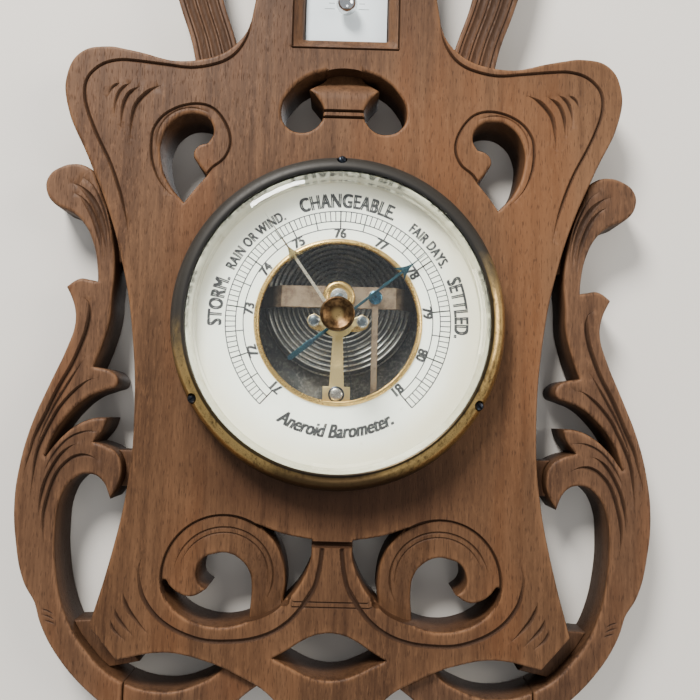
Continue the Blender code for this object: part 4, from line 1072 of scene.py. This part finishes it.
def strap(name, node):
    """A bent brass strap over the tube, its ears pinned to the plate."""
    low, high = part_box(node)
    middle = (low.z + high.z) / 2 / MM
    seat, wide, thick = opal_front + 0.1, (high.z - low.z) / MM, 0.5
    reach = TUBE_R + 0.15
    line = [(-reach - 3.4, seat), (-reach - 0.7, seat), (-reach, seat + 0.7)]
    line += arc(0.0, TUBE_HEIGHT, reach, 180, 0, 16)
    line += [(reach, seat + 0.7), (reach + 0.7, seat), (reach + 3.4, seat)]
    outer = []
    for i, (x, h) in enumerate(line):
        before, after = line[max(i - 1, 0)], line[min(i + 1, len(line) - 1)]
        dx, dh = after[0] - before[0], after[1] - before[1]
        size = math.hypot(dx, dh)
        outer.append((x - dh / size * thick, h + dx / size * thick))
    loop = line + outer[::-1]
    edit = bmesh.new()
    rings = [[edit.verts.new((x * MM, -h * MM, (middle + end) * MM)) for x, h in loop]
             for end in (-wide / 2, wide / 2)]
    count = len(loop)
    for i in range(count):
        j = (i + 1) % count
        edit.faces.new((rings[0][i], rings[0][j], rings[1][j], rings[1][i]))
    half = count // 2
    for i in range(half - 1):
        for end in rings:
            edit.faces.new((end[i], end[i + 1], end[count - 2 - i], end[count - 1 - i]))
    for sign in (-1, 1):
        x, radius = sign * (reach + 2.2), 0.75
        dome = bmesh.ops.create_uvsphere(edit, u_segments=12, v_segments=6, radius=radius * MM)
        bmesh.ops.transform(edit, matrix=Matrix.Translation((x * MM, -(seat + thick) * MM, middle * MM))
                            @ Matrix.Diagonal((1.0, 0.5, 1.0, 1.0)), verts=dome["verts"])
    fit(new_piece(name, finished(name, edit), brass, 40), "case", "brass", node)


strap("strap_lower", "tube_clip_lower")
strap("strap_upper", "tube_clip_upper")


# ---------------------------------------------------------------- case and bezel
# A spun brass drum drops into the board's round opening and hangs on its flange. The drawn
# bezel lies on the flange, and three small screws through both hold them to the wood.

BEZEL_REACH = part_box("bezel")[1].x
BEZEL_SCREW_R = 65.8
BEZEL_SCREWS = {"top": 90, "left": 210, "right": 330}
aged = Finish("aged_brass", (0.03, 0.026, 0.02), 0.36, 1.0, Specular_IOR_Level=0.3)
aged_x, _, aged_z = aged.axes()
aged_r = aged.reach(aged_x, aged_z)
cloud = aged.noise(48.0, detail=6.0, rough=0.7)
scratch = aged.noise(620.0, (1.0, 1.0, 0.5), 6.0, 0.75, (3.0, 0.0, 0.0))
speckle = aged.noise(1900.0, detail=3.0, rough=0.7)
lean = aged_z / BEZEL_REACH + (cloud - 0.5) * 0.6
# Black patina and a painted dark reflection over the bezel's upper left.
patina_and_dark_reflection = aged.step(lean - aged_x * 4.0, -0.20, 0.26)
# Bare gilt worn through the black on the inner slope and the right side; on the right side it is also a painted
# bright reflection.
inner = aged.step(aged_r + (cloud - 0.5) * 0.004, 0.0684, 0.0664)
lit_right_side = aged.step(aged_x, 0.040, 0.056)
# Painted shade on the bezel's lowest part, where the gold gives way to dark brown.
under = aged.step(aged_z / BEZEL_REACH + (cloud - 0.5) * 0.15, -0.78, -0.92)
rubbed = aged.step(scratch + (cloud - 0.5) * 0.5, 0.34, 0.54)
bare_and_lit = aged.step(inner + lit_right_side, 0.0, 1.0, False) * (1.0 - under * 0.95) * (0.25 + rubbed * 0.75)
gilt = aged.mix(aged.step(speckle, 0.54, 0.68) * 0.5, (0.50, 0.33, 0.12), (0.07, 0.042, 0.017))
skin = aged.mix(bare_and_lit, (0.066, 0.040, 0.019), gilt)
skin = aged.mix(patina_and_dark_reflection, skin, (0.022, 0.019, 0.015))
# Painted shadow: a near-black band round the bezel's inner edge.
lip = aged.step(aged_r, 0.0626, 0.0620)
skin = aged.mix(lip * 0.9, skin, (0.012, 0.011, 0.010))
aged.set("Base Color", skin)
aged.set("Roughness", 0.38 + patina_and_dark_reflection * 0.20 - bare_and_lit * 0.08 + (speckle - 0.5) * 0.25)
aged.set("Metallic", 0.95 - patina_and_dark_reflection * 0.75)
aged.bump(speckle * 0.4 + scratch, 0.22, 0.00005)


def bored(piece, radius, heights, x=0.0, z=0.0):
    """Drill a round hole through a finished mesh, out of the wall."""
    tool = turned("drill", [(0.0, heights[1]), (radius, heights[1]), (radius, heights[0]), (0.0, heights[0])],
                  brass, x, z, 24)
    carved_out(piece, tool)
    return piece


def on_circle(radius, degrees):
    """A point across and up on a circle about the dial's axis, from its angle past the right side."""
    return radius * math.cos(math.radians(degrees)), radius * math.sin(math.radians(degrees))


def crisp(piece, angle):
    """Smooth shading again after a cut, with the edges past an angle kept sharp."""
    piece.data.shade_smooth()
    piece.data.set_sharp_from_angle(angle=math.radians(angle))


def screw(name, node, body, slot, finish, radius, shank, low, seat, top, x=0.0, z=0.0, turn=0.0, gap=0.13):
    """A slotted cheese-head screw with a low crown and a turned edge."""
    crown = (top - seat) * 0.3
    profile = [(0.0, top), (radius * 0.45, top - crown * 0.12), (radius * 0.78, top - crown * 0.5),
               (radius * 0.94, top - crown), (radius, top - crown * 1.5), (radius, seat), (shank, seat),
               (shank, low), (0.0, low)]
    piece = turned(name, profile, finish, steps=40)
    drilled(piece, ((-radius * 1.2, radius * 1.2), (top - (top - seat) * 0.6, top + 1.0),
                    (-radius * gap, radius * gap)))
    piece.data.transform(Matrix.Translation((x * MM, 0, z * MM)) @ Matrix.Rotation(math.radians(turn), 4, "Y"))
    crisp(piece, 30)
    fit(piece, body, slot, *([node] if node else []))


refinish(aged, "drum_case")
bezel = turned("bezel_ring", [
    (61.0, 34.45), (61.25, 34.68), (61.7, 34.8), (62.4, 34.8), (63.3, 34.62), (64.2, 34.25), (65.3, 33.45),
    (66.3, 32.35), (67.1, 30.9), (67.75, 29.2), (68.2, 27.3), (68.5, 25.4), (68.5, 23.2), (68.3, 22.5),
    (67.9, 22.3), (63.2, 22.3), (63.2, 34.0), (61.15, 34.0), (61.0, 34.15)], aged, steps=256, ring=True)
for turn in BEZEL_SCREWS.values():
    bored(bezel, 2.15, (20.0, 40.0), *on_circle(BEZEL_SCREW_R, turn))
crisp(bezel, 30)
fit(bezel, "case", "aged_brass", "bezel")
dark_steel = metal("blued_screws", (0.03, 0.035, 0.045), 0.3, (0.05, 0.03, 0.02), 0.5)
for place, turn in BEZEL_SCREWS.items():
    screw(f"bezel_screw_head_{place}", f"bezel_screw_{place}", "case", "blued_steel", dark_steel, 1.9, 0.9,
          12.0, 30.4, 32.3, *on_circle(BEZEL_SCREW_R, turn), turn * 0.7)

# ---------------------------------------------------------------- glass
# A thick disc with a broad bevel ground round its rim, bored at the centre for the knob. The
# silvered ring just below it repeats the printed words as a faint band.

fit(turned("bevelled_glass", [
    (2.4, 33.55), (2.65, 33.8), (57.0, 33.8), (57.25, 33.76), (62.45, 31.95), (62.6, 31.7), (62.6, 31.0),
    (2.65, 31.0), (2.4, 31.2)], glass, steps=200, ring=True, angle=8.0), "case", "clear_glass", "dial_glass")

# ---------------------------------------------------------------- dial card
# A white enamelled card printed in black, yellowed towards its rim by light and damp, with painted
# shade over the same band. A thin brass ring lines the round opening that shows the movement.

card = Finish("enamelled_card", (0.79, 0.80, 0.75), 0.5, Specular_IOR_Level=0.4)
card_x, _, card_z = card.axes()
card_r = card.add("VectorMath", {0: card.place}, output=1, operation="LENGTH")
blotch = card.noise(26.0, detail=4.0, rough=0.6)
paper = card.noise(1400.0, detail=3.0, rough=0.6)
# Yellowing and painted shade towards the rim, more on the right and lower side.
yellowed_and_shaded_rim = card.step(card_r + (blotch - 0.5) * 0.010 + card_x * 0.05 - card_z * 0.02, 0.050, 0.066)
lit_card = card.mix(yellowed_and_shaded_rim * 0.85, (0.885, 0.895, 0.80), (0.70, 0.63, 0.44))
lit_card = card.mix(card.step(blotch, 0.5, 0.8) * 0.25, lit_card, (0.78, 0.76, 0.64))
spots = card.step(card.noise(330.0, detail=2.0, rough=0.5, shift=(5.0, 1.0, 2.0)), 0.70, 0.76)
card.set("Base Color", card.mix(spots * 0.25, lit_card, (0.42, 0.33, 0.20)))
card.set("Roughness", 0.42 + (paper - 0.5) * 0.2)
card.bump(paper, 0.06, 0.00003)
CARD_FACE = 25.0
fit(turned("card_ring", [(34.0, 24.95), (34.05, CARD_FACE), (61.35, CARD_FACE), (61.4, 24.95), (61.4, 24.2),
                         (34.0, 24.2)], card, steps=200, ring=True), "case", "enamelled_card", "dial_card")
refinish(brass, "dial_seat")
fit(turned("aperture_trim", [
    (32.4, 25.7), (32.5, 26.0), (32.8, 26.25), (33.2, 26.3), (33.7, 26.15), (34.2, 25.8), (34.55, 25.35),
    (34.6, 25.06), (33.5, 25.06), (33.5, 23.4), (32.4, 23.4)], brass, steps=200, ring=True),
    "case", "brass", "aperture_ring")

mirror = Finish("silvered_cone", (0.80, 0.79, 0.74), 0.07, 1.0)
haze = mirror.noise(220.0, detail=5.0, rough=0.65)
yellowed = mirror.step(haze, 0.45, 0.75)
mirror.set("Base Color", mirror.mix(yellowed * 0.5, (0.70, 0.69, 0.62), (0.48, 0.43, 0.32)))
mirror.set("Roughness", 0.13 + mirror.step(haze, 0.4, 0.8) * 0.16)
fit(turned("silvered_ring", [
    (58.1, 25.32), (58.25, 25.55), (60.9, 30.5), (61.0, 30.7), (61.4, 30.7), (58.9, 25.5), (58.8, 25.32)],
    mirror, steps=256, ring=True), "case", "brass", "sight_ring")

SCALE_TURN = 27.6
SCALE_REACH = 5 * SCALE_TURN
SCALE_INNER, SCALE_MIDDLE, SCALE_OUTER = 38.8, 41.9, 46.1
LINE_HEIGHT, TYPE_HEIGHT = CARD_FACE + 0.03, CARD_FACE + 0.04


def printed_arc(name, radius, width, reach, steps=180):
    """A printed circle line, open at the bottom."""
    spots, faces = [], []
    for i in range(steps + 1):
        turn = math.radians(-reach + 2 * reach * i / steps)
        for r in (radius - width / 2, radius + width / 2):
            spots.append((r * math.sin(turn) * MM, -LINE_HEIGHT * MM, r * math.cos(turn) * MM))
    faces = [(2 * i, 2 * i + 1, 2 * i + 3, 2 * i + 2) for i in range(steps)]
    mesh = bpy.data.meshes.new(name)
    mesh.from_pydata(spots, [], faces)
    return new_piece(name, mesh, ink)


dial_strokes = strokes("dial_strokes", ink, False)
marks = [printed_arc(f"scale_line_{radius}", radius, 0.44, SCALE_REACH)
         for radius in (SCALE_INNER, SCALE_MIDDLE, SCALE_OUTER)]
for count, inner, outer, width in ((101, SCALE_MIDDLE, SCALE_OUTER, 0.42), (21, SCALE_INNER, SCALE_OUTER, 0.46),
                                   (11, SCALE_INNER - 0.6, SCALE_OUTER, 0.55)):
    marks.append(dial_strokes.grow(
        f"scale_ticks_{count}", ink, Count=count, First=math.radians(-SCALE_REACH),
        Step=math.radians(2 * SCALE_REACH / (count - 1)), Inner=inner * MM, Outer=outer * MM, Width=width * MM,
        Height=LINE_HEIGHT * MM))
for number in range(71, 82):
    digits = lettering(f"number_{number}", str(number), 5.5, TYPE_HEIGHT, ink, 0.26, spacing=1.0, width=0.86)
    marks.append(bent(digits, 35.0, (number - 76) * SCALE_TURN))
for word, size, weight, angle in (("STORM.", 8.1, 0.33, -81.0), ("RAIN OR WIND.", 5.9, 0.23, -46.5),
                                  ("CHANGEABLE.", 8.3, 0.34, 3.5), ("FAIR DAYS.", 5.9, 0.23, 48.5),
                                  ("SETTLED.", 8.1, 0.33, 82.0)):
    line = lettering(word.lower(), word, size, TYPE_HEIGHT, ink, weight, spacing=1.10, width=0.66)
    marks.append(bent(line, 47.8, angle))
title = lettering("title", "Aneroid Barometer.", 7.8, TYPE_HEIGHT, ink, 0.32, 0.28, 1.0, 0.78)
marks.append(bent(title, 47.2, 180.0, False))
fit(joined("dial_printing", marks), "case", "enamelled_card")

# ---------------------------------------------------------------- base plate and capsule
# A round blackened plate carries the whole movement. On it lies the vacuum capsule, two thin
# rippled discs of nickel silver soldered at the rim, dulled, with painted highlights along the crests of the
# lower half.

japan = Finish("black_japan", (0.02, 0.02, 0.022), 0.4)
dust = japan.noise(900.0, detail=6.0, rough=0.75)
patches = japan.noise(120.0, detail=5.0, rough=0.65)
ground = japan.mix(japan.step(patches, 0.35, 0.7), (0.030, 0.032, 0.031), (0.095, 0.085, 0.068))
japan.set("Base Color", japan.mix(japan.step(dust, 0.48, 0.64) * 0.8, ground, (0.24, 0.23, 0.20)))
japan.set("Roughness", 0.34 + dust * 0.3)
japan.bump(dust, 0.3, 0.0001)
refinish(japan, "base_plate")

CAPSULE_Z = 11.0
RIPPLE = 2.06
FIRST_CREST = 12.0
RIPPLE_FIRST, RIPPLE_LAST = 10.97, 31.4
nickel = Finish("nickel_silver", (0.5, 0.49, 0.46), 0.3, 1.0)
nickel_x, _, nickel_z = nickel.axes()
ripples = nickel.reach(nickel_x, nickel_z - CAPSULE_Z * MM) / (RIPPLE * MM) - FIRST_CREST / RIPPLE
# Painted highlights on the ripple crests, drawn bright only over the capsule's lower half.
crest = nickel.step(nickel.add("Math", {0: ripples * (2 * math.pi)}, operation="COSINE"), 0.25, 0.9)
tarnish = nickel.noise(170.0, detail=6.0, rough=0.7)
grit = nickel.noise(1300.0, detail=4.0, rough=0.7)
painted_lit_lower_half = nickel.step(nickel_z + (tarnish - 0.5) * 0.012, 0.012, -0.004)
dull = nickel.mix(nickel.step(tarnish, 0.4, 0.7), (0.034, 0.038, 0.040), (0.105, 0.096, 0.080))
dull = nickel.mix(nickel.step(grit, 0.53, 0.68) * 0.55, dull, (0.24, 0.23, 0.205))
nickel.set("Base Color", nickel.mix(crest * (0.05 + painted_lit_lower_half * 0.95), dull, (0.88, 0.86, 0.80)))
nickel.set("Roughness", 0.42 - crest * 0.14 + (grit - 0.5) * 0.2)
nickel.set("Metallic", 0.55 + crest * 0.45)
nickel.bump(grit, 0.18, 0.00005)

face = [(0.0, 10.4), (4.6, 10.4), (5.6, 10.25), (8.0, 10.2), (10.4, 9.95)]
for radius in np.linspace(RIPPLE_FIRST, RIPPLE_LAST, 121):
    lift = 0.5 + 0.5 * math.cos(2 * math.pi * (radius - FIRST_CREST) / RIPPLE)
    face.append((float(radius), 9.62 + 0.78 * lift ** 1.3))
face += [(31.9, 9.3), (32.5, 8.6), (32.85, 7.9), (33.0, 7.35)]
under_face = [(max(r - 0.15, 0.0), h - 0.4) for r, h in face[::-1]]
upper = turned("rippled_disc", face + under_face, nickel, 0.0, CAPSULE_Z, 120)
fit(upper, "capsule_top", "nickel_silver", "capsule_upper_shell")
refinish(nickel, "capsule_lower_shell")

silver = metal("silvered_parts", (0.62, 0.60, 0.54), 0.24, (0.12, 0.10, 0.07), 0.4)
fit(turned("post_boss", [
    (0.0, 21.0), (3.1, 21.0), (3.6, 20.85), (3.8, 20.55), (3.8, 20.3), (1.6, 20.3), (1.6, 12.6), (2.6, 12.4),
    (4.2, 11.9), (4.5, 11.6), (4.5, 10.7), (0.0, 10.7)], silver, 0.0, CAPSULE_Z, 48),
    "capsule_top", "nickel_silver", "capsule_post")
grey_steel = metal("grey_steel", (0.17, 0.20, 0.22), 0.3, (0.05, 0.05, 0.05), 0.5)
screw("post_screw", None, "capsule_top", "blued_steel", grey_steel, 1.7, 0.9, 20.9, 21.05, 21.9, 0.0, CAPSULE_Z,
      60.0)
fit(turned("collar_ring", [
    (4.4, 21.4), (4.55, 21.62), (5.0, 21.82), (5.5, 21.9), (6.0, 21.75), (6.5, 21.4), (6.7, 21.0), (6.7, 20.06),
    (3.6, 20.06), (3.6, 20.9), (4.4, 20.9)], brass, 0.0, CAPSULE_Z, 72, ring=True),
    "capsule_top", "brass", "spring_collar")

# ---------------------------------------------------------------- mainspring
# A strong steel blade bridges the capsule, takes its post through a hole and holds it open. The
# legs bend down to feet that are screwed to the base plate.

tan_steel = Finish("browned_steel", (0.27, 0.20, 0.13), 0.42, 0.8)
rust = tan_steel.noise(210.0, detail=6.0, rough=0.68)
brush = tan_steel.noise(900.0, (0.12, 1.0, 1.0), 3.0, 0.6)
tan = tan_steel.mix(tan_steel.step(rust, 0.38, 0.7), (0.34, 0.25, 0.165), (0.15, 0.095, 0.06))
tan = tan_steel.mix(tan_steel.step(brush, 0.55, 0.75) * 0.5, tan, (0.38, 0.30, 0.21))
# Painted shade on the legs, which bend down below the blade.
shaded_legs = tan_steel.step(tan_steel.axes()[1], -0.0192, -0.0165)
tan_steel.set("Base Color", tan_steel.mix(shaded_legs * 0.85, tan, (0.035, 0.028, 0.022)))
tan_steel.set("Roughness", 0.36 + (rust - 0.5) * 0.3)
tan_steel.bump(brush + rust * 0.5, 0.15, 0.00005)

FOOT_LOW, BLADE_LOW, BLADE_TOP = 3.1, 18.9, 20.0
BLADE_SOFT = 0.25
stations = [(-49.0, FOOT_LOW, FOOT_LOW + 1.1, 3.6), (-48.2, FOOT_LOW, FOOT_LOW + 1.1, 4.6),
            (-42.4, FOOT_LOW, FOOT_LOW + 1.1, 4.6), (-40.6, FOOT_LOW + 0.9, FOOT_LOW + 2.2, 4.6),
            (-26.0, BLADE_LOW - 2.6, BLADE_TOP - 1.5, 4.5), (-23.9, BLADE_LOW - 0.4, BLADE_TOP - 0.15, 4.6),
            (-22.6, BLADE_LOW, BLADE_TOP, 4.6)]
stations += [(x, BLADE_LOW, BLADE_TOP, 4.6) for x in (-12.0, 0.0, 12.0)]
stations += [(-x, low, high, wide) for x, low, high, wide in stations[6::-1]]
edit = bmesh.new()
rows = []
for x, low, high, wide in stations:
    section = [(-wide, low), (wide, low), (wide, high - BLADE_SOFT), (wide - BLADE_SOFT, high),
               (-wide + BLADE_SOFT, high), (-wide, high - BLADE_SOFT)]
    rows.append([edit.verts.new((x * MM, -h * MM, (CAPSULE_Z + z) * MM)) for z, h in section])
for first, second in zip(rows, rows[1:]):
    for i in range(6):
        edit.faces.new((first[i], first[(i + 1) % 6], second[(i + 1) % 6], second[i]))
edit.faces.new(rows[0])
edit.faces.new(rows[-1])
blade = new_piece("spring_blade", finished("spring_blade", edit), tan_steel)
bored(blade, 2.0, (10.0, 25.0), 0.0, CAPSULE_Z)
crisp(blade, 25)
fit(blade, "case", "browned_steel", "main_spring")
for side, sign in (("left", -1), ("right", 1)):
    screw(f"foot_screw_{side}", f"spring_screw_{side}", "case", "bright_steel", steel, 2.0, 1.2, FOOT_LOW + 1.2,
          FOOT_LOW + 1.4, FOOT_LOW + 2.8, sign * 46.0, CAPSULE_Z, 40.0)
refinish(steel, "plate_screw_top", "plate_screw_left", "plate_screw_right")

# ---------------------------------------------------------------- levers, shaft and chain
# The main lever is screwed to the spring's blade and reaches down over the rocking shaft. Its
# link turns the shaft, whose long arm pulls a fine chain round the pulley on the pointer's arbor.

LEVER_X = 15.2
lever_half = [(0.0, 14.2), (2.5, 13.2), (3.4, 11.0), (2.6, 8.8), (1.3, 7.6, "corner"), (1.3, -35.6, "corner")]
lever = slab("lever_arm", [both_sides(lever_half)], 20.3, 21.3, tan_steel, 0.15)
lever.data.transform(Matrix.Translation((LEVER_X * MM, 0.0, 0.0)))
fit(lever, "main_lever", "browned_steel", "main_lever")
screw("lever_head", "lever_screw", "main_lever", "blued_steel", blued, 2.9, 1.2, 21.4, 21.6, 22.7, LEVER_X,
      CAPSULE_Z, 35.0)
refinish(steel, "rocking_shaft")
refinish(brass, "chain_arm", "link_arm", "link_rod", "shaft_bracket_left", "shaft_bracket_right",
         "adjusting_screw")

links = Grower("chain_links", Count=40, Length=0.037, Link=0.0009)
given = links.given
line = links.add("MeshLine", {"Count": given["Count"], "Offset": links.vector(z=given["Length"])},
                 mode="END_POINTS")
link_ring = links.add("CurvePrimitiveCircle", {"Resolution": 12, "Radius": given["Link"] * 0.30})
link_long = links.add("Transform", {"Geometry": link_ring, "Scale": (0.8, 2.0, 1.0),
                                    "Rotation": (math.radians(90), 0.0, 0.0)})
link_wire = links.add("CurvePrimitiveCircle", {"Resolution": 6, "Radius": 0.0001})
link_mesh = links.add("CurveToMesh", {0: link_long, 1: link_wire})
quarter_turn = links.vector(z=links.add("InputIndex") * (math.pi / 2))
links.repeat(line, link_mesh, quarter_turn, dark_steel)
chain_start = Vector((2.3, -19.0, 0.0)) * MM
chain_end = Vector((7.6, -19.0, -36.6)) * MM
span = chain_end - chain_start
chain_piece = links.grow("chain_links", dark_steel, Count=42, Length=span.length, Link=0.0009)
chain_piece.data.transform(Matrix.Translation(chain_start) @ span.to_track_quat("Z", "Y").to_matrix().to_4x4())
chain_piece.data.shade_smooth()
fit(chain_piece, "chain", "bright_steel", "chain")

# ---------------------------------------------------------------- pointer bridge
# The pointer's arbor turns between a cock below and a long tapered bridge above. The bridge is
# screwed to a pillar at its foot and to the cock by two silvered screws beside the arbor.

COCK_X = 10.0
COCK_Z = 0.6
BRIDGE_FOOT_Z = -29.6
cock_half = [(6.0, 2.2, "corner"), (COCK_X, 3.4), (COCK_X + 2.8, COCK_Z), (COCK_X, -2.2), (5.0, -2.6, "corner")]
fit(slab("cock_plate", [both_sides(cock_half)], 12.6, 13.8, brass, 0.15), "case", "brass", "arbor_cock")
bridge_half = [(0.0, 4.2, "corner"), (3.6, 3.0), (6.4, 1.9, "corner"), (COCK_X - 2.0, 2.55), (COCK_X, 3.4),
               (COCK_X + 2.8, COCK_Z), (COCK_X, -2.2), (COCK_X - 2.2, -1.2), (6.0, -2.4, "corner"), (4.6, -4.4),
               (2.1, -5.9, "corner"), (3.0, -26.4, "corner"), (5.6, -26.4, "corner"), (5.6, -33.0, "corner"),
               (0.0, -33.0, "corner")]
gold = metal("gilt_brass", (0.80, 0.60, 0.27), 0.30, (0.30, 0.18, 0.06), 0.35, (1.0, 1.0, 0.1))
fit(slab("bridge_plate", [both_sides(bridge_half), hole(1.3), hole(1.5, 0.0, BRIDGE_FOOT_Z),
                          hole(1.3, COCK_X, COCK_Z), hole(1.3, -COCK_X, COCK_Z)], 21.6, 22.8, gold, 0.18),
    "case", "brass", "pointer_bridge")
bronze_steel = metal("bronzed_steel", (0.50, 0.46, 0.40), 0.26, (0.10, 0.06, 0.03), 0.8)
screw("bridge_head", "bridge_screw", "case", "bright_steel", bronze_steel, 2.6, 1.1, 21.5, 23.1, 24.2, 0.0,
      BRIDGE_FOOT_Z, -25.0, 0.16)
fit(turned("bridge_screw_seat", [
    (2.7, 23.5), (2.9, 23.65), (3.25, 23.5), (3.35, 23.1), (2.0, 23.0), (2.0, 23.1)],
    dark_steel, 0.0, BRIDGE_FOOT_Z, 48, ring=True), "case", "bright_steel")
for side, sign in (("left", -1), ("right", 1)):
    screw(f"cock_head_{side}", f"cock_screw_{side}", "case", "bright_steel", grey_steel, 1.85, 1.0, 14.1,
          23.1, 23.8, sign * COCK_X, COCK_Z, 25.0 * sign)
    washer = turned(f"cock_washer_{side}", [
        (1.9, 23.5), (2.1, 23.75), (2.4, 23.55), (2.5, 23.1), (1.3, 23.1), (1.3, 23.4)],
        silver, sign * COCK_X, COCK_Z, 40, ring=True)
    fit(washer, "case", "nickel_silver")
refinish(brass, "bridge_pillar", "pulley")
refinish(steel, "pointer_arbor")

spiral = bpy.data.curves.new("hairspring_coil", "CURVE")
spiral.dimensions = "3D"
spiral.bevel_depth = 0.12 * MM
spiral.bevel_resolution = 1
spiral_line = spiral.splines.new("POLY")
COIL_TURNS, COIL_STEPS, COIL_HEIGHT = 4, 40, 15.6
COIL_FIRST, COIL_LAST = 1.6, 6.0
coil_points = COIL_TURNS * COIL_STEPS
spiral_line.points.add(coil_points)
for i, point in enumerate(spiral_line.points):
    turn, radius = 2 * math.pi * i / COIL_STEPS, COIL_FIRST + (COIL_LAST - COIL_FIRST) * i / coil_points
    point.co = (radius * math.cos(turn) * MM, -COIL_HEIGHT * MM, radius * math.sin(turn) * MM, 1.0)
coil = new_piece("hairspring_coil", drawn("hairspring", spiral), blued)
fit(coil, "case", "blued_steel", "hairspring")

# ---------------------------------------------------------------- hands and knob
# The blued pointer sits on the arbor. The brass set hand above it is fixed to a spindle through
# the glass, with a dished brown knob outside, smoother in the middle, where a highlight is painted.

hand_blue = Finish("blued_hand", (0.03, 0.12, 0.17), 0.22, 1.0)
hand_cloud = hand_blue.noise(240.0, detail=4.0)
hand_skin = hand_blue.mix(hand_blue.step(hand_cloud, 0.35, 0.7), (0.045, 0.15, 0.18), (0.05, 0.09, 0.12))
hand_blue.set("Base Color", hand_skin)
hand_blue.set("Roughness", 0.22 + (hand_cloud - 0.5) * 0.2)
pale = Finish("pale_brass", (0.70, 0.60, 0.40), 0.3, 1.0)
pale_x, _, pale_z = pale.axes()
pale_r = pale.reach(pale_x, pale_z)
pale_wear = pale.noise(900.0, detail=4.0, rough=0.7)
pale_skin = pale.mix(pale.step(pale_r, 0.0290, 0.0312), (0.78, 0.70, 0.55), (0.36, 0.27, 0.11))
pale_skin = pale.mix(pale.step(pale_r, 0.0345, 0.0365), pale_skin, (0.11, 0.07, 0.035))
pale.set("Base Color", pale.mix(pale.step(pale_wear, 0.5, 0.7) * 0.4, pale_skin, (0.16, 0.12, 0.05)))
pale.set("Roughness", 0.28 + (pale_wear - 0.5) * 0.2)


def hand(name, half, bore, low, high, angle, finish):
    """A flat hand with a round boss, drawn upright and turned clockwise to its place."""
    piece = slab(name, [both_sides(half), hole(bore)], low, high, finish, 0.08)
    piece.data.transform(Matrix.Rotation(math.radians(angle), 4, "Y"))
    return piece


pointer_half = [(0.0, 47.5, "corner"), (0.32, 38.0, "corner"), (1.2, 35.2), (3.4, 31.2, "corner"),
                (0.5, 33.2, "corner"), (0.55, 3.0, "corner"), (2.4, 0.0), (0.6, -3.0, "corner"),
                (0.7, -13.0, "corner"), (1.2, -14.0, "corner"), (1.0, -25.0, "corner"), (0.0, -25.6, "corner")]
fit(hand("pointer_blade", pointer_half, 0.5, 27.6, 28.1, 51.0, hand_blue), "pointer", "blued_steel", "pointer")
set_half = [(0.0, 54.0, "corner"), (0.36, 36.0, "corner"), (1.4, 33.4), (3.7, 30.2, "corner"),
            (0.6, 32.2, "corner"), (0.65, 3.6, "corner"), (2.9, 0.0), (0.0, -3.0)]
fit(hand("set_blade", set_half, 1.0, 29.4, 29.9, -35.5, pale), "set_hand", "brass", "set_hand")

knob_finish = Finish("knob_brass", (0.25, 0.14, 0.05), 0.3, 1.0)
knob_x, _, knob_z = knob_finish.axes()
knob_r = knob_finish.reach(knob_x, knob_z)
handled = knob_finish.noise(500.0, detail=5.0, rough=0.7)
# A painted highlight in the middle of the dish, which is also smoother there.
middle = knob_finish.step(knob_r + (handled - 0.5) * 0.0022, 0.0030, 0.0008)
darkened = knob_finish.mix(knob_finish.step(handled, 0.4, 0.65), (0.050, 0.027, 0.013), (0.13, 0.075, 0.033))
knob_finish.set("Base Color", knob_finish.mix(middle * 0.8, darkened, (0.50, 0.34, 0.14)))
knob_finish.set("Roughness", 0.38 - middle * 0.08 + (handled - 0.5) * 0.2)
knob_finish.bump(handled, 0.12, 0.00005)
fit(turned("knob_turning", [
    (0.0, 50.3), (1.1, 50.32), (2.4, 50.55), (3.8, 51.05), (4.8, 51.6), (5.45, 51.92), (5.9, 52.0),
    (6.3, 51.85), (6.55, 51.5), (6.6, 51.1), (6.6, 49.0), (6.4, 48.6), (5.7, 48.1), (4.6, 47.3),
    (3.6, 46.2), (3.1, 44.8),
    (2.85, 42.5), (2.8, 38.5), (3.1, 37.0), (3.9, 36.0), (4.5, 35.6), (4.6, 35.3), (4.6, 34.4), (4.4, 34.1),
    (1.9, 34.1), (1.9, 30.2), (0.0, 30.2)], knob_finish, steps=72), "set_hand", "knob_brass", "knob")
